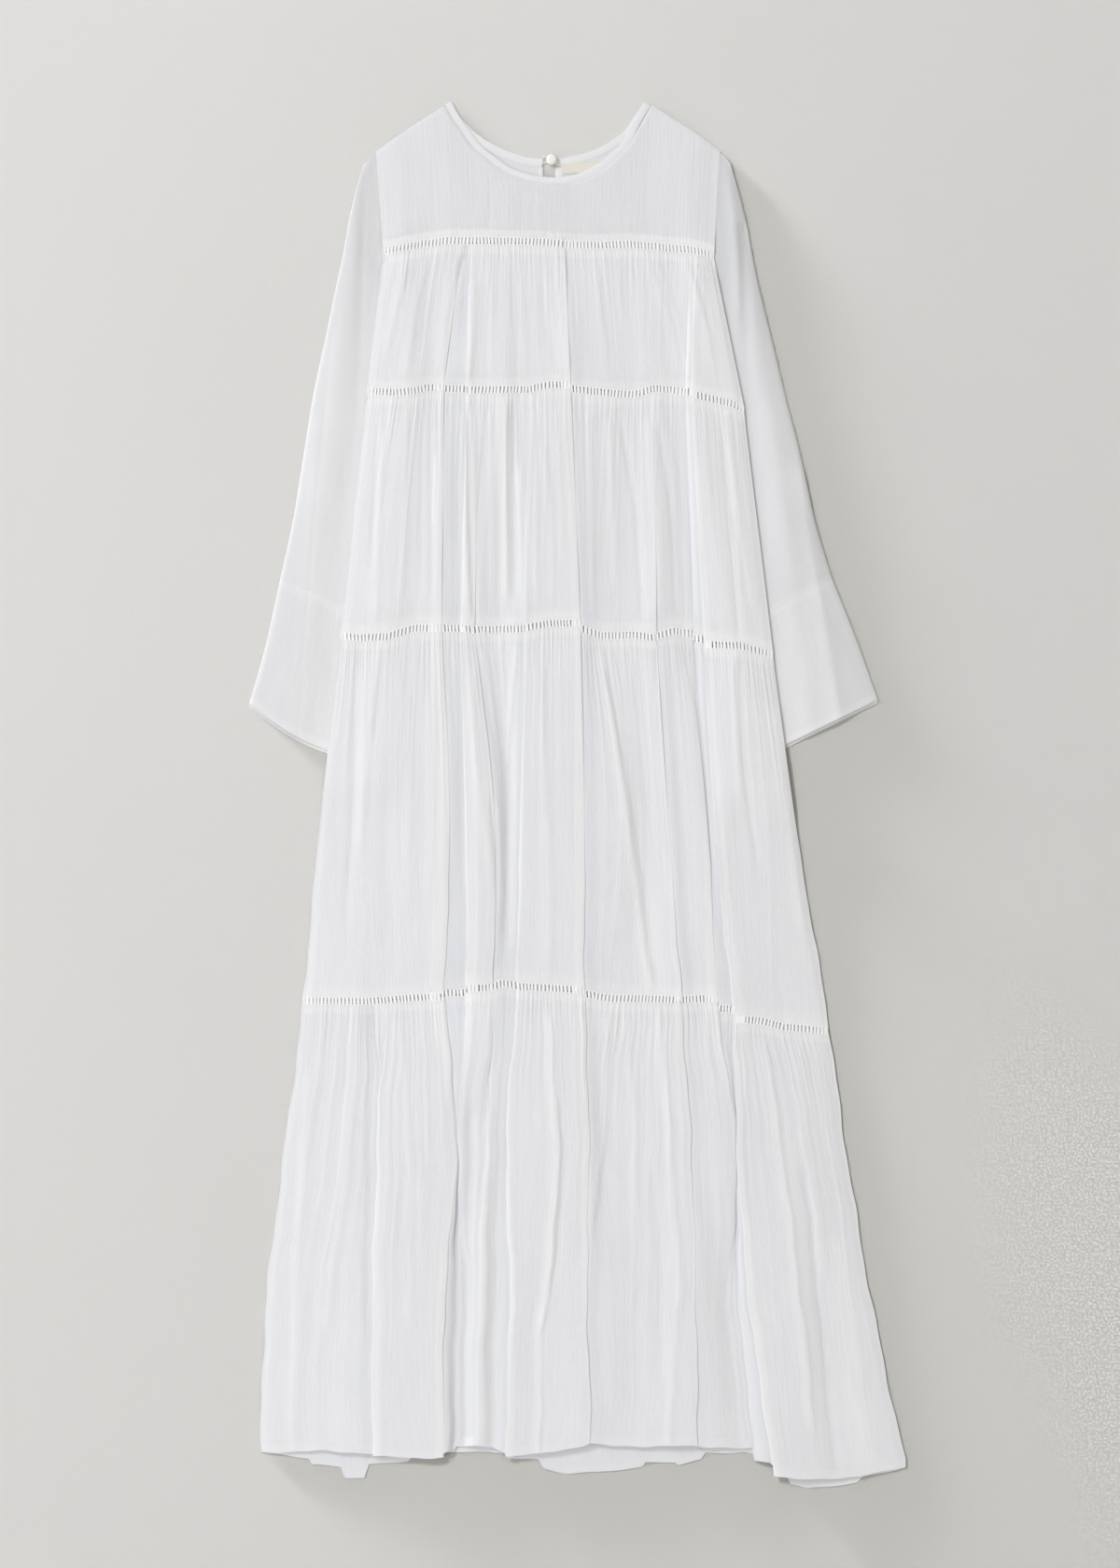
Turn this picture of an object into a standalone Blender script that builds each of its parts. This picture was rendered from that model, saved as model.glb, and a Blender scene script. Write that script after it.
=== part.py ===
"""Long-sleeved tiered maxi dress in thin white cotton, laid flat on its back.

The dress is a yoke and four gathered tiers, joined by strips of ladder stitching.
Long sleeves with deep cuffs lie down along the sides, partly under the skirt.
All tables are in millimetres. "across" runs from the centre front to the wearer's left,
"down" runs from the high shoulder point to the hem, and "rise" is the height of the
front cloth above its lowest place. The finished model is in metres, +Z up.
"""
import math
from collections import namedtuple

import bmesh
import bpy
from mathutils import Vector

# Driving sizes
MM = 0.001
SHIFT_ACROSS = -27.1
MIDDLE_DOWN = 721.3
WALL = 1.0
GAP = 0.35
HEM_GAP = 0.7
LOW = 2.0
SLEEVE_LIFT = 3.6
LIFT_RAMP = 34.0
LADDER_HEIGHT = 7.0
HEM_HEIGHT = 9.0
BINDING_WALL = 1.4
BUTTON_RADIUS = 5.7
LOOP_RADIUS = 0.6

# Colours of the cloth and the trims
WHITE_COTTON = (0.80, 0.80, 0.83, 1.0)
WHITE_SEAM = (0.88, 0.88, 0.90, 1.0)
PEARL = (0.86, 0.85, 0.80, 1.0)
CREAM_RIBBON = (0.80, 0.74, 0.66, 1.0)

# Where each vertical fold or swell of the front crosses each section of the skirt.
# An "over" fold lies left over right, an "under" fold right over left.
Fold = namedtuple("Fold", "name kind ladder_1 ladder_2 ladder_3 middle_3 ladder_4 upper_4 lower_4 hem")
ACROSS = [
    Fold("side_left", "edge", -174, -191, -218, -239, -257, -277, -296, -302),
    Fold("swell_a", "crest", -146, -161, -199, -205, -199, -208, -233, -238),
    Fold("fold_l", "under", -128, -146, -173, -177, -177, -180, -185, -185),
    Fold("swell_b", "crest", -107, -128, -141, -148, -141, -138, -146, -146),
    Fold("fold_a1", "over", -92, -111, -113, -105, -110, -98, -110, -111),
    Fold("fold_a2", "under", -84, -87, -93, -89, -87, -96, -92, -94),
    Fold("fold_e", "over", -68, -73, -79, -59, -59, -67, -74, -76),
    Fold("swell_c", "crest", -48, -46, -52, -44, -48, -56, -58, -60),
    Fold("fold_f", "under", -29, -26, -27, -31, -35, -46, -42, -46),
    Fold("swell_d", "crest", -5, -2, -2, -2, 0, 6, -7, -10),
    Fold("fold_b", "over", 15, 21, 31, 35, 35, 40, 38, 42),
    Fold("swell_e", "crest", 48, 63, 53, 78, 63, 53, 63, 63),
    Fold("swell_f", "crest", 80, 87, 87, 99, 97, 91, 89, 87),
    Fold("fold_d", "over", 107, 109, 110, 122, 136, 146, 151, 153),
    Fold("swell_g", "crest", 124, 124, 128, 144, 153, 167, 170, 177),
    Fold("fold_c1", "over", 141, 136, 143, 162, 173, 193, 189, 204),
    Fold("fold_c2", "under", 150, 146, 160, 171, 190, 195, 209, 231),
    Fold("swell_h", "crest", 160, 175, 196, 207, 219, 244, 262, 272),
    Fold("swell_r", "crest", 165, 189, 213, 235, 242, 270, 286, 301),
    Fold("side_right", "edge", 170, 201, 231, 257, 290, 311, 338, 368),
]

# How far the cloth laps under itself at each fold. A lap of 0 is a plain swell.
LAP = [
    Fold("fold_l", "under", 0, 0, 0, 0, 0, 4, 8, 8),
    Fold("fold_a1", "over", 0, 8, 14, 18, 16, 6, 10, 10),
    Fold("fold_a2", "under", 0, 5, 6, 13, 12, 5, 0, 0),
    Fold("fold_e", "over", 0, 0, 3, 4, 4, 0, 0, 0),
    Fold("fold_f", "under", 0, 0, 3, 4, 3, 3, 7, 8),
    Fold("fold_b", "over", 2, 8, 10, 12, 12, 10, 6, 4),
    Fold("fold_d", "over", 0, 0, 3, 5, 8, 5, 4, 3),
    Fold("fold_c1", "over", 0, 0, 0, 6, 13, 5, 0, 0),
    Fold("fold_c2", "under", 0, 4, 8, 10, 13, 8, 10, 10),
]

# Height of the cloth at each swell, and of the upper layer at each fold.
RISE = [
    Fold("side_left", "edge", 0.0, 0.0, 0.0, 0.0, 0.0, 0.0, 0.0, 0.0),
    Fold("swell_a", "crest", 0.8, 1.5, 1.5, 1.2, 1.5, 2.5, 3.0, 2.5),
    Fold("fold_l", "under", 0.9, 2.0, 2.0, 2.5, 2.0, 4.2, 4.4, 4.4),
    Fold("swell_b", "crest", 1.0, 2.5, 3.5, 4.5, 3.0, 5.0, 5.0, 4.5),
    Fold("fold_a1", "over", 1.0, 4.2, 4.4, 5.0, 4.6, 4.6, 4.4, 4.4),
    Fold("fold_a2", "under", 1.0, 4.2, 4.4, 5.0, 4.6, 4.6, 1.0, 0.6),
    Fold("fold_e", "over", 1.2, 3.2, 4.2, 4.6, 4.4, 4.0, 4.5, 4.0),
    Fold("swell_c", "crest", 1.2, 4.0, 1.0, 0.8, 3.5, 3.5, 2.0, 2.0),
    Fold("fold_f", "under", 1.2, 2.0, 4.2, 4.6, 4.4, 4.4, 4.6, 4.4),
    Fold("swell_d", "crest", 1.2, 3.2, 4.5, 5.5, 4.4, 5.5, 4.5, 4.0),
    Fold("fold_b", "over", 1.2, 4.2, 4.6, 5.2, 4.6, 5.0, 4.6, 4.4),
    Fold("swell_e", "crest", 1.2, 2.0, 2.0, 4.0, 2.5, 3.5, 3.5, 3.0),
    Fold("swell_f", "crest", 1.0, 1.2, 1.2, 1.5, 1.5, 3.0, 3.0, 3.0),
    Fold("fold_d", "over", 1.0, 2.5, 4.2, 4.4, 4.4, 4.6, 4.4, 4.2),
    Fold("swell_g", "crest", 0.9, 1.5, 2.5, 3.8, 4.2, 4.2, 3.0, 3.0),
    Fold("fold_c1", "over", 0.8, 0.6, 0.8, 4.2, 4.4, 4.4, 1.2, 1.0),
    Fold("fold_c2", "under", 0.8, 4.2, 4.4, 5.0, 4.6, 4.8, 4.6, 4.6),
    Fold("swell_h", "crest", 0.6, 2.0, 3.4, 4.0, 4.0, 4.2, 5.0, 4.5),
    Fold("swell_r", "crest", 0.4, 1.2, 1.8, 3.0, 3.0, 3.0, 2.2, 2.0),
    Fold("side_right", "edge", 0.0, 0.0, 0.0, 0.0, 0.0, 0.0, 0.0, 0.0),
]

# How far down each seam and the hem lie where each fold crosses them.
Seam = namedtuple("Seam", "name ladder_1 ladder_2 ladder_3 ladder_4 hem")
SEAM_DOWN = [
    Seam("side_left", 157, 302, 556, 935, 1405),
    Seam("swell_a", 151, 303, 558, 936, 1403),
    Seam("fold_l", 148, 302, 557, 935, 1408),
    Seam("swell_b", 145, 298, 548, 932, 1410),
    Seam("fold_a1", 145, 298, 548, 931, 1410),
    Seam("fold_a2", 145, 301, 548, 923, 1399),
    Seam("fold_e", 145, 300, 550, 921, 1398),
    Seam("swell_c", 146, 300, 549, 917, 1398),
    Seam("fold_f", 146, 300, 549, 920, 1409),
    Seam("swell_d", 147, 295, 543, 922, 1406),
    Seam("fold_b", 149, 295, 543, 925, 1394),
    Seam("swell_e", 150, 304, 556, 933, 1398),
    Seam("swell_f", 149, 305, 555, 933, 1398),
    Seam("fold_d", 151, 299, 559, 935, 1398),
    Seam("swell_g", 153, 300, 551, 933, 1399),
    Seam("fold_c1", 154, 302, 553, 933, 1401),
    Seam("fold_c2", 156, 303, 565, 954, 1428),
    Seam("swell_h", 158, 312, 566, 956, 1433),
    Seam("swell_r", 160, 315, 571, 962, 1432),
    Seam("side_right", 163, 322, 576, 967, 1421),
]

# Rows of each tier: how far through the tier, and the two sections it lies between.
# "lifted" is 1 where the sleeves lie under the body and 0 where it rests on the surface.
Row = namedtuple("Row", "part above below blend lifted ripple")
TIERS = {
    "tier_1": [
        Row(0.0, "ladder_1", "ladder_2", 0.0, 1, 0.0),
        Row(0.2, "ladder_1", "ladder_2", 0.2, 1, 1.0),
        Row(0.6, "ladder_1", "ladder_2", 0.6, 1, 0.9),
        Row(1.0, "ladder_1", "ladder_2", 1.0, 1, 0.0),
    ],
    "tier_2": [
        Row(0.0, "ladder_2", "ladder_3", 0.0, 1, 0.0),
        Row(0.15, "ladder_2", "ladder_3", 0.15, 1, 1.2),
        Row(0.6, "ladder_2", "ladder_3", 0.6, 1, 1.0),
        Row(1.0, "ladder_2", "ladder_3", 1.0, 1, 0.0),
    ],
    "tier_3": [
        Row(0.0, "ladder_3", "middle_3", 0.0, 1, 0.0),
        Row(0.12, "ladder_3", "middle_3", 0.24, 1, 1.4),
        Row(0.38, "ladder_3", "middle_3", 0.78, 1, 1.2),
        Row(0.49, "ladder_3", "middle_3", 1.0, 0, 1.1),
        Row(0.78, "middle_3", "ladder_4", 0.56, 0, 0.8),
        Row(1.0, "middle_3", "ladder_4", 1.0, 0, 0.0),
    ],
    "tier_4": [
        Row(0.0, "ladder_4", "upper_4", 0.0, 0, 0.0),
        Row(0.1, "ladder_4", "upper_4", 0.3, 0, 1.8),
        Row(0.33, "ladder_4", "upper_4", 1.0, 0, 1.6),
        Row(0.68, "upper_4", "lower_4", 1.0, 0, 1.2),
        Row(1.0, "lower_4", "hem", 1.0, 0, 0.0),
    ],
}
TIER_SEAMS = {
    "tier_1": ("ladder_1", "ladder_2"),
    "tier_2": ("ladder_2", "ladder_3"),
    "tier_3": ("ladder_3", "ladder_4"),
    "tier_4": ("ladder_4", "hem"),
}
GATHER_PITCH = {"tier_1": 11.0, "tier_2": 12.5, "tier_3": 15.0, "tier_4": 17.0}

# Inner end of the raised strip over each sleeve, on each section that has one.
Reach = namedtuple("Reach", "section left right")
REACH = [
    Reach("ladder_1", -160, 158),
    Reach("ladder_2", -150, 150),
    Reach("ladder_3", -172, 194),
    Reach("middle_3", -177, 202),
]

# Top edges of the yoke: shoulders and the seam where the neck binding starts.
Edge = namedtuple("Edge", "across down")
FRONT_TOP = [
    Edge(-182, 53), Edge(-160, 37), Edge(-136, 21), Edge(-111, 5), Edge(-105, 16),
    Edge(-94, 32), Edge(-80, 51), Edge(-63, 65), Edge(-44, 78), Edge(-26, 84),
    Edge(-5, 87), Edge(15, 87.2), Edge(33, 82.8), Edge(53, 73), Edge(69, 60),
    Edge(82.5, 46), Edge(93.5, 26), Edge(105.5, 5), Edge(136, 24), Edge(157, 38),
    Edge(176, 52),
]
BACK_TOP = [
    Edge(-182, 53), Edge(-160, 37), Edge(-136, 21), Edge(-111, 5), Edge(-103, 18),
    Edge(-87, 36), Edge(-72, 47), Edge(-51, 58), Edge(-31, 65), Edge(-14, 68),
    Edge(12.6, 68), Edge(31, 64), Edge(51, 57), Edge(67, 48), Edge(81, 38),
    Edge(94, 20), Edge(105, 5), Edge(136, 24), Edge(157, 38), Edge(176, 52),
]
FRONT_NECK = [
    Edge(-103, 0), Edge(-97, 12), Edge(-87, 27), Edge(-73, 46), Edge(-58, 58),
    Edge(-41, 70), Edge(-24, 76), Edge(-5, 79), Edge(12, 79), Edge(29, 75),
    Edge(48, 66), Edge(63, 54), Edge(76, 40), Edge(85, 21), Edge(97, 1),
]
BACK_NECK_LEFT = [
    Edge(-103, 0), Edge(-96, 13), Edge(-82, 29), Edge(-68, 40), Edge(-48, 50),
    Edge(-29, 57), Edge(-8, 60),
]
BACK_NECK_RIGHT = [
    Edge(4.6, 60), Edge(29, 56), Edge(48, 49), Edge(63, 41), Edge(76, 31),
    Edge(87, 16), Edge(97, 1),
]
BINDING_WIDTH = 7.6
YOKE_ROWS = (0.0, 0.35, 0.76, 1.0)

# Keyhole slit of the back: the clear width, its length and its bound edges
SLIT_LEFT = -8.0
SLIT_RIGHT = 4.6
SLIT_TOP = 68.6
SLIT_END = 120.0
SLIT_OUTER_LEFT = -12.2
SLIT_OUTER_RIGHT = 12.2
SLIT_OUTER_END = 124.6

# Plain ribbon label under the binding, and the button with its loop
LABEL_START, LABEL_END = 13.0, 62.0
LABEL_HEIGHT = 11.0
BUTTON_ACROSS, BUTTON_DOWN = 1.0, 61.0

# Lower edge of the back hem, which shows below the front hem
BACK_HEM = [
    Edge(-302, 1405), Edge(-276, 1408), Edge(-242, 1416), Edge(-204, 1430),
    Edge(-189, 1420), Edge(-146, 1415), Edge(-103, 1408), Edge(-47, 1408),
    Edge(-19, 1414), Edge(10, 1428), Edge(48, 1428), Edge(107, 1423),
    Edge(141, 1414), Edge(165, 1407), Edge(204, 1405), Edge(233, 1418),
    Edge(247, 1438), Edge(286, 1444), Edge(320, 1441), Edge(349, 1430),
    Edge(368, 1421),
]

# Sleeves: a row for each cut across the sleeve, from its outer fold to its inner edge.
# "joined" is 0 along the armhole and 1 below the underarm point.
Cut = namedtuple("Cut", "outer_across outer_down inner_across inner_down puff joined")
SLEEVES = {
    "left": [
        Cut(-194, 66, -183.6, 54, 0.6, 0),
        Cut(-201, 89, -180.0, 80, 2.0, 0),
        Cut(-209, 123, -177.6, 113, 3.0, 0),
        Cut(-215, 157, -176.2, 152, 3.5, 0),
        Cut(-223, 194, -168, 180, 4.0, 1),
        Cut(-232, 238, -158, 235, 4.5, 1),
        Cut(-246, 303, -155, 303, 5.0, 1),
        Cut(-259, 384, -163, 384, 5.0, 1),
        Cut(-268, 438, -170, 445, 4.5, 1),
        Cut(-282, 502, -179, 551, 2.5, 1),
    ],
    "right": [
        Cut(187, 65, 177.6, 53, 0.6, 0),
        Cut(196, 97, 174.6, 80, 2.0, 0),
        Cut(204, 128, 172.6, 113, 3.0, 0),
        Cut(209, 157, 172.0, 157, 3.5, 0),
        Cut(215, 186, 166, 180, 4.0, 1),
        Cut(229, 244, 158, 240, 4.5, 1),
        Cut(243, 303, 157, 303, 5.0, 1),
        Cut(259, 365, 166, 372, 5.0, 1),
        Cut(275, 438, 179, 438, 4.5, 1),
        Cut(293, 498, 201, 547, 2.5, 1),
    ],
}
CUFFS = {
    "left": [
        Cut(-282.2, 502.4, -179.2, 551.4, 2.5, 1),
        Cut(-298, 574, -181, 618, 3.5, 1),
        Cut(-313, 626, -184, 689, 2.5, 1),
    ],
    "right": [
        Cut(293.2, 498.4, 201.2, 547.4, 2.5, 1),
        Cut(317, 558, 205, 615, 3.5, 1),
        Cut(340, 622, 209, 686, 2.5, 1),
    ],
}

# Soft lengthwise creases of the sleeves, at three places down each.
Crease = namedtuple("Crease", "side start middle end start_down middle_down end_down height width")
CREASES = [
    Crease("left", -192, -196, -197, 80, 200, 330, -2.5, 7),
    Crease("left", -244, -251, -262, 330, 500, 640, 1.6, 9),
    Crease("right", 182, 194, 190, 66, 180, 260, 2.0, 7),
    Crease("right", 200, 203, 201, 128, 225, 310, -2.5, 7),
    Crease("right", 262, 280, 302, 380, 520, 640, 1.6, 9),
]

for item in list(bpy.data.objects):
    bpy.data.objects.remove(item, do_unlink=True)

dress = bpy.data.collections.new("maxi_dress")
bpy.context.scene.collection.children.link(dress)


def place(across, down, height):
    """Point of the model for a place on the dress, height above the surface in mm."""
    return Vector(((across + SHIFT_ACROSS) * MM, (MIDDLE_DOWN - down) * MM, height * MM))


def ramp(value):
    """Smooth step from 0 to 1."""
    value = min(1.0, max(0.0, value))
    return value * value * (3.0 - 2.0 * value)


def between(start, end, part):
    return start + (end - start) * part


def along(edge, across):
    """Down of an edge table at a place across it."""
    for first, second in zip(edge, edge[1:]):
        if across <= second.across:
            part = (across - first.across) / (second.across - first.across)
            return between(first.down, second.down, max(0.0, part))
    return edge[-1].down


def uneven(number, salt=0):
    """Repeatable value from 0 to 1, so that like folds differ a little."""
    value = math.sin(number * 12.9898 + salt * 78.233) * 43758.5453
    return value - math.floor(value)


def material(name, colour, roughness):
    result = bpy.data.materials.new(name)
    result.use_nodes = True
    shader = result.node_tree.nodes["Principled BSDF"]
    shader.inputs["Base Color"].default_value = colour
    shader.inputs["Roughness"].default_value = roughness
    shader.inputs["Metallic"].default_value = 0.0
    return result


def finish_object(thing, colour, roughness):
    """Put an object in the dress with a material of its own."""
    thing.data.materials.clear()
    thing.data.materials.append(material(thing.name, colour, roughness))
    for collection in list(thing.users_collection):
        collection.objects.unlink(thing)
    dress.objects.link(thing)


def cloth(name, rows, colour=WHITE_COTTON, wall=WALL, holes=(), weld=False):
    """Solid cloth wall through rows of points: a grid bent to shape, then thickened."""
    count_across = len(rows[0]) - 1
    count_down = len(rows) - 1
    mesh = bpy.data.meshes.new(name)
    shape = bmesh.new()
    bmesh.ops.create_grid(shape, x_segments=count_across, y_segments=count_down, size=1.0)
    doomed = []
    for face in shape.faces:
        middle = face.calc_center_median()
        column = int((middle.x + 1.0) / 2.0 * count_across)
        row = int((1.0 - middle.y) / 2.0 * count_down)
        if (row, column) in holes:
            doomed.append(face)
    for point in shape.verts:
        column = round((point.co.x + 1.0) / 2.0 * count_across)
        row = round((1.0 - point.co.y) / 2.0 * count_down)
        point.co = rows[row][column]
    if doomed:
        bmesh.ops.delete(shape, geom=doomed, context="FACES")
    if weld:
        bmesh.ops.remove_doubles(shape, verts=shape.verts, dist=0.00002)
    bmesh.ops.recalc_face_normals(shape, faces=shape.faces)
    shape.to_mesh(mesh)
    shape.free()
    thing = bpy.data.objects.new(name, mesh)
    thicken = thing.modifiers.new("Wall", "SOLIDIFY")
    thicken.thickness = wall * MM
    thicken.offset = 0.0
    mesh.shade_smooth()
    dress.objects.link(thing)
    finish_object(thing, colour, 0.9)
    return thing


# Lookups by fold name
ACROSS_OF = {row.name: row for row in ACROSS}
LAP_OF = {row.name: row for row in LAP}
RISE_OF = {row.name: row for row in RISE}
SEAM_OF = {row.name: row for row in SEAM_DOWN}
REACH_OF = {row.section: row for row in REACH}
NAMES = [row.name for row in ACROSS]

Knot = namedtuple("Knot", "across rise down_top down_bottom panel")


def blended(table, name, row):
    if name not in table:
        return 0.0
    return between(getattr(table[name], row.above), getattr(table[name], row.below), row.blend)


def knots(row, seams):
    """Points of one section of the front: one for a swell, five round a lapped fold."""
    result = []
    for number, name in enumerate(NAMES):
        kind = ACROSS_OF[name].kind
        across = blended(ACROSS_OF, name, row)
        rise = blended(RISE_OF, name, row)
        top = getattr(SEAM_OF[name], seams[0])
        bottom = getattr(SEAM_OF[name], seams[1])
        if name not in LAP_OF:
            result.append(Knot(across, rise, top, bottom, True))
            continue
        lap = blended(LAP_OF, name, row)
        full = ramp(lap / 2.5)
        soft = 1.0 - full
        lower = rise * soft
        step = rise - lower
        side = 1 if kind == "over" else -1
        neighbour = SEAM_OF[NAMES[number + side]]
        room = min(
            blended(ACROSS_OF, NAMES[number + 1], row) - across,
            across - blended(ACROSS_OF, NAMES[number - 1], row),
        )
        spread = soft * min(1.0, room / 20.0)
        landing = min(4.0, 0.45 * room) * full + 8.0 * spread
        far_top = 0.5 * (top + getattr(neighbour, seams[0]))
        far_bottom = 0.5 * (bottom + getattr(neighbour, seams[1]))
        turn = [
            Knot(across - side * 5.0 * spread, rise, top, bottom, False),
            Knot(across - side * 2.0 * spread, rise - 0.5 * step, top, bottom, False),
            Knot(across - side * (lap * full - 2.0 * spread), rise - 0.5 * step, top, bottom, False),
            Knot(across - side * (lap * full - 5.0 * spread), lower, top, bottom, False),
            Knot(across + side * landing, lower, far_top, far_bottom, True),
        ]
        if kind == "under":
            turn.reverse()
            turn = [knot._replace(panel=(index == 4)) for index, knot in enumerate(turn)]
        result.extend(turn)
    return result


def lift(across, row):
    """How far the body is raised over the sleeves at a place on a row."""
    if not row.lifted:
        return 0.0
    above = REACH_OF[row.above]
    below = REACH_OF[row.below]
    left = between(above.left, below.left, row.blend)
    right = between(above.right, below.right, row.blend)
    from_left = 1.0 - min(1.0, max(0.0, (across - left) / LIFT_RAMP))
    from_right = 1.0 - min(1.0, max(0.0, (right - across) / LIFT_RAMP))
    return SLEEVE_LIFT * max(from_left, from_right)


# Front tiers, gathered under each ladder
for tier, rows in TIERS.items():
    seams = TIER_SEAMS[tier]
    guide = knots(rows[1], seams)
    plan = []
    for index, knot in enumerate(guide[:-1]):
        width = guide[index + 1].across - knot.across
        plan.append(round(width / GATHER_PITCH[tier]) if knot.panel else 0)
    start = LADDER_HEIGHT / 2 + GAP
    end = LADDER_HEIGHT / 2 + GAP if tier != "tier_4" else HEM_HEIGHT + HEM_GAP
    points = []
    for row in rows:
        line = []
        here = knots(row, seams)
        for index, knot in enumerate(here):
            following = here[min(index + 1, len(here) - 1)]
            count = plan[index] if index < len(plan) else 0
            steps = max(1, 2 * count)
            for step in range(steps if index < len(plan) else 1):
                part = step / steps
                if 0 < step < steps:
                    part += 0.25 * (uneven(index * 7 + step) - 0.5) / steps
                across = between(knot.across, following.across, part)
                rise = between(knot.rise, following.rise, part)
                top = between(knot.down_top, following.down_top, part) + start
                bottom = between(knot.down_bottom, following.down_bottom, part) - end
                down = between(top, bottom, row.part)
                if step % 2:
                    rise += row.ripple * (0.7 + 0.6 * uneven(index * 5 + step, 3))
                line.append(place(across, down, LOW + rise + lift(across, row)))
        points.append(line)
    cloth(tier + "_front", points)

# Ladder strips and the hem of the front
STRIPS = [
    ("ladder_1", TIERS["tier_1"][0], -LADDER_HEIGHT / 2, LADDER_HEIGHT / 2),
    ("ladder_2", TIERS["tier_2"][0], -LADDER_HEIGHT / 2, LADDER_HEIGHT / 2),
    ("ladder_3", TIERS["tier_3"][0], -LADDER_HEIGHT / 2, LADDER_HEIGHT / 2),
    ("ladder_4", TIERS["tier_4"][0], -LADDER_HEIGHT / 2, LADDER_HEIGHT / 2),
    ("hem", TIERS["tier_4"][-1], -HEM_HEIGHT, 0.0),
]
for name, row, upper, lower in STRIPS:
    here = knots(row, (name, name))
    points = []
    for offset in (upper, lower):
        points.append([
            place(knot.across, knot.down_top + offset, LOW + knot.rise + lift(knot.across, row))
            for knot in here
        ])
    cloth(name + "_front", points, WHITE_SEAM)


BACK_MARKS = ("side_left", "fold_l", "swell_d", "swell_h", "side_right")


def back_seam(seam, row, across):
    """Down of a back seam, which follows the front's at its sides and middle."""
    marks = [Edge(blended(ACROSS_OF, name, row), getattr(SEAM_OF[name], seam)) for name in BACK_MARKS]
    return along(marks, across)


def back_places(row):
    """Places across the back of the skirt, closer together over the sleeves."""
    left = blended(ACROSS_OF, "side_left", row)
    right = blended(ACROSS_OF, "side_right", row)
    if row.lifted:
        reach_left = between(REACH_OF[row.above].left, REACH_OF[row.below].left, row.blend)
        reach_right = between(REACH_OF[row.above].right, REACH_OF[row.below].right, row.blend)
    else:
        reach_left = REACH_OF["middle_3"].left
        reach_right = REACH_OF["middle_3"].right
    inner_left = reach_left + LIFT_RAMP
    inner_right = reach_right - LIFT_RAMP
    places = [left, reach_left]
    places += [between(reach_left, inner_left, step / 5) for step in range(1, 6)]
    places += [between(inner_left, inner_right, step / 4) for step in (1, 2, 3)]
    places += [between(inner_right, reach_right, step / 5) for step in range(6)]
    places.append(right)
    return places


def split_evenly(places):
    """Split the wide steps across the back of the lowest tier, each into equal parts."""
    last = len(places) - 2
    parts = [4 if index == 0 else 5 if index == last else 2 if 6 <= index <= 9 else 1
             for index in range(len(places) - 1)]
    result = []
    for index, count in enumerate(parts):
        result += [between(places[index], places[index + 1], step / count) for step in range(count)]
    return result + [places[-1]]


def back_row(row, places, downs):
    """One line of the back wall, lying on the surface or on the sleeves."""
    line = []
    for index, across in enumerate(places):
        inset = 0.4 if index == 0 else -0.4 if index == len(places) - 1 else 0.0
        line.append(place(across + inset, downs[index], WALL / 2 + lift(across, row)))
    return line


# Back tiers and ladders
for tier, rows in TIERS.items():
    above_seam, below_seam = TIER_SEAMS[tier]
    points = []
    for row in rows:
        places = back_places(row)
        tops = [back_seam(above_seam, row, across) + LADDER_HEIGHT / 2 + GAP for across in places]
        if tier == "tier_4":
            tops = split_evenly(tops)
            places = split_evenly(places)
        downs = []
        for across, top in zip(places, tops):
            if tier == "tier_4":
                part = (across - places[0]) / (places[-1] - places[0])
                bottom = along(BACK_HEM, between(-302, 368, part)) - HEM_HEIGHT - HEM_GAP
            else:
                bottom = back_seam(below_seam, row, across) - LADDER_HEIGHT / 2 - GAP
            downs.append(between(top, bottom, row.part))
        points.append(back_row(row, places, downs))
    cloth(tier + "_back", points)

for name, row, upper, lower in STRIPS[:4]:
    places = back_places(row)
    points = []
    for offset in (upper, lower):
        downs = [back_seam(name, row, across) + offset for across in places]
        points.append(back_row(row, places, downs))
    cloth(name + "_back", points, WHITE_SEAM)

hem_row = TIERS["tier_4"][-1]
hem_places = split_evenly(back_places(hem_row))
hem_points = []
for offset in (-HEM_HEIGHT, 0.0):
    downs = [along(BACK_HEM, across) + offset for across in hem_places]
    hem_points.append(back_row(hem_row, hem_places, downs))
cloth("hem_back", hem_points, WHITE_SEAM)


# Yoke front and back
def yoke_columns(top_edge, foot):
    """Places along the foot of the yoke, each with the place above it on the top edge."""
    first, last = foot[0].across, foot[-1].across
    wide = top_edge[-1].across - top_edge[0].across
    marks = [(mark.across - first) / (last - first) for mark in foot]
    for edge in top_edge:
        part = (edge.across - top_edge[0].across) / wide
        clear = min(abs(part - mark) for mark in marks)
        corner = edge.across in (-111, 105.5, 105, -14, 12.6)
        if clear > 0.012 or (corner and clear > 0.0001):
            marks.append(part)
    result = []
    for mark in sorted(marks):
        across = between(first, last, mark)
        above = between(top_edge[0].across, top_edge[-1].across, mark)
        result.append((above, along(top_edge, above), across, along(foot, across)))
    return result


def yoke(top_edge, foot, heights):
    """Rows of points of half the yoke, from its top edge down to the first ladder."""
    columns = yoke_columns(top_edge, foot)
    rows = []
    for part in YOKE_ROWS:
        line = []
        for above, above_down, below, below_down in columns:
            across = between(above, below, part)
            down = between(above_down, below_down - LADDER_HEIGHT / 2 - GAP, part)
            raised = lift(below, ladder_row) if part == 1.0 else 0.0
            line.append(place(across, down, heights(below, part) + raised))
        rows.append(line)
    return rows, columns


ladder_row = TIERS["tier_1"][0]
foot_knots = knots(ladder_row, ("ladder_1", "ladder_1"))


def yoke_front_height(across, part):
    """Height of the front yoke: raised over the neck, down to the back at the armholes."""
    edge = min(across - foot_knots[0].across, foot_knots[-1].across - across)
    swell = 1.3 * min(1.0, edge / 20.0)
    if part < 1.0:
        return LOW + swell
    marks = [Edge(knot.across, knot.rise) for knot in foot_knots]
    return LOW + along(marks, across)


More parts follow.
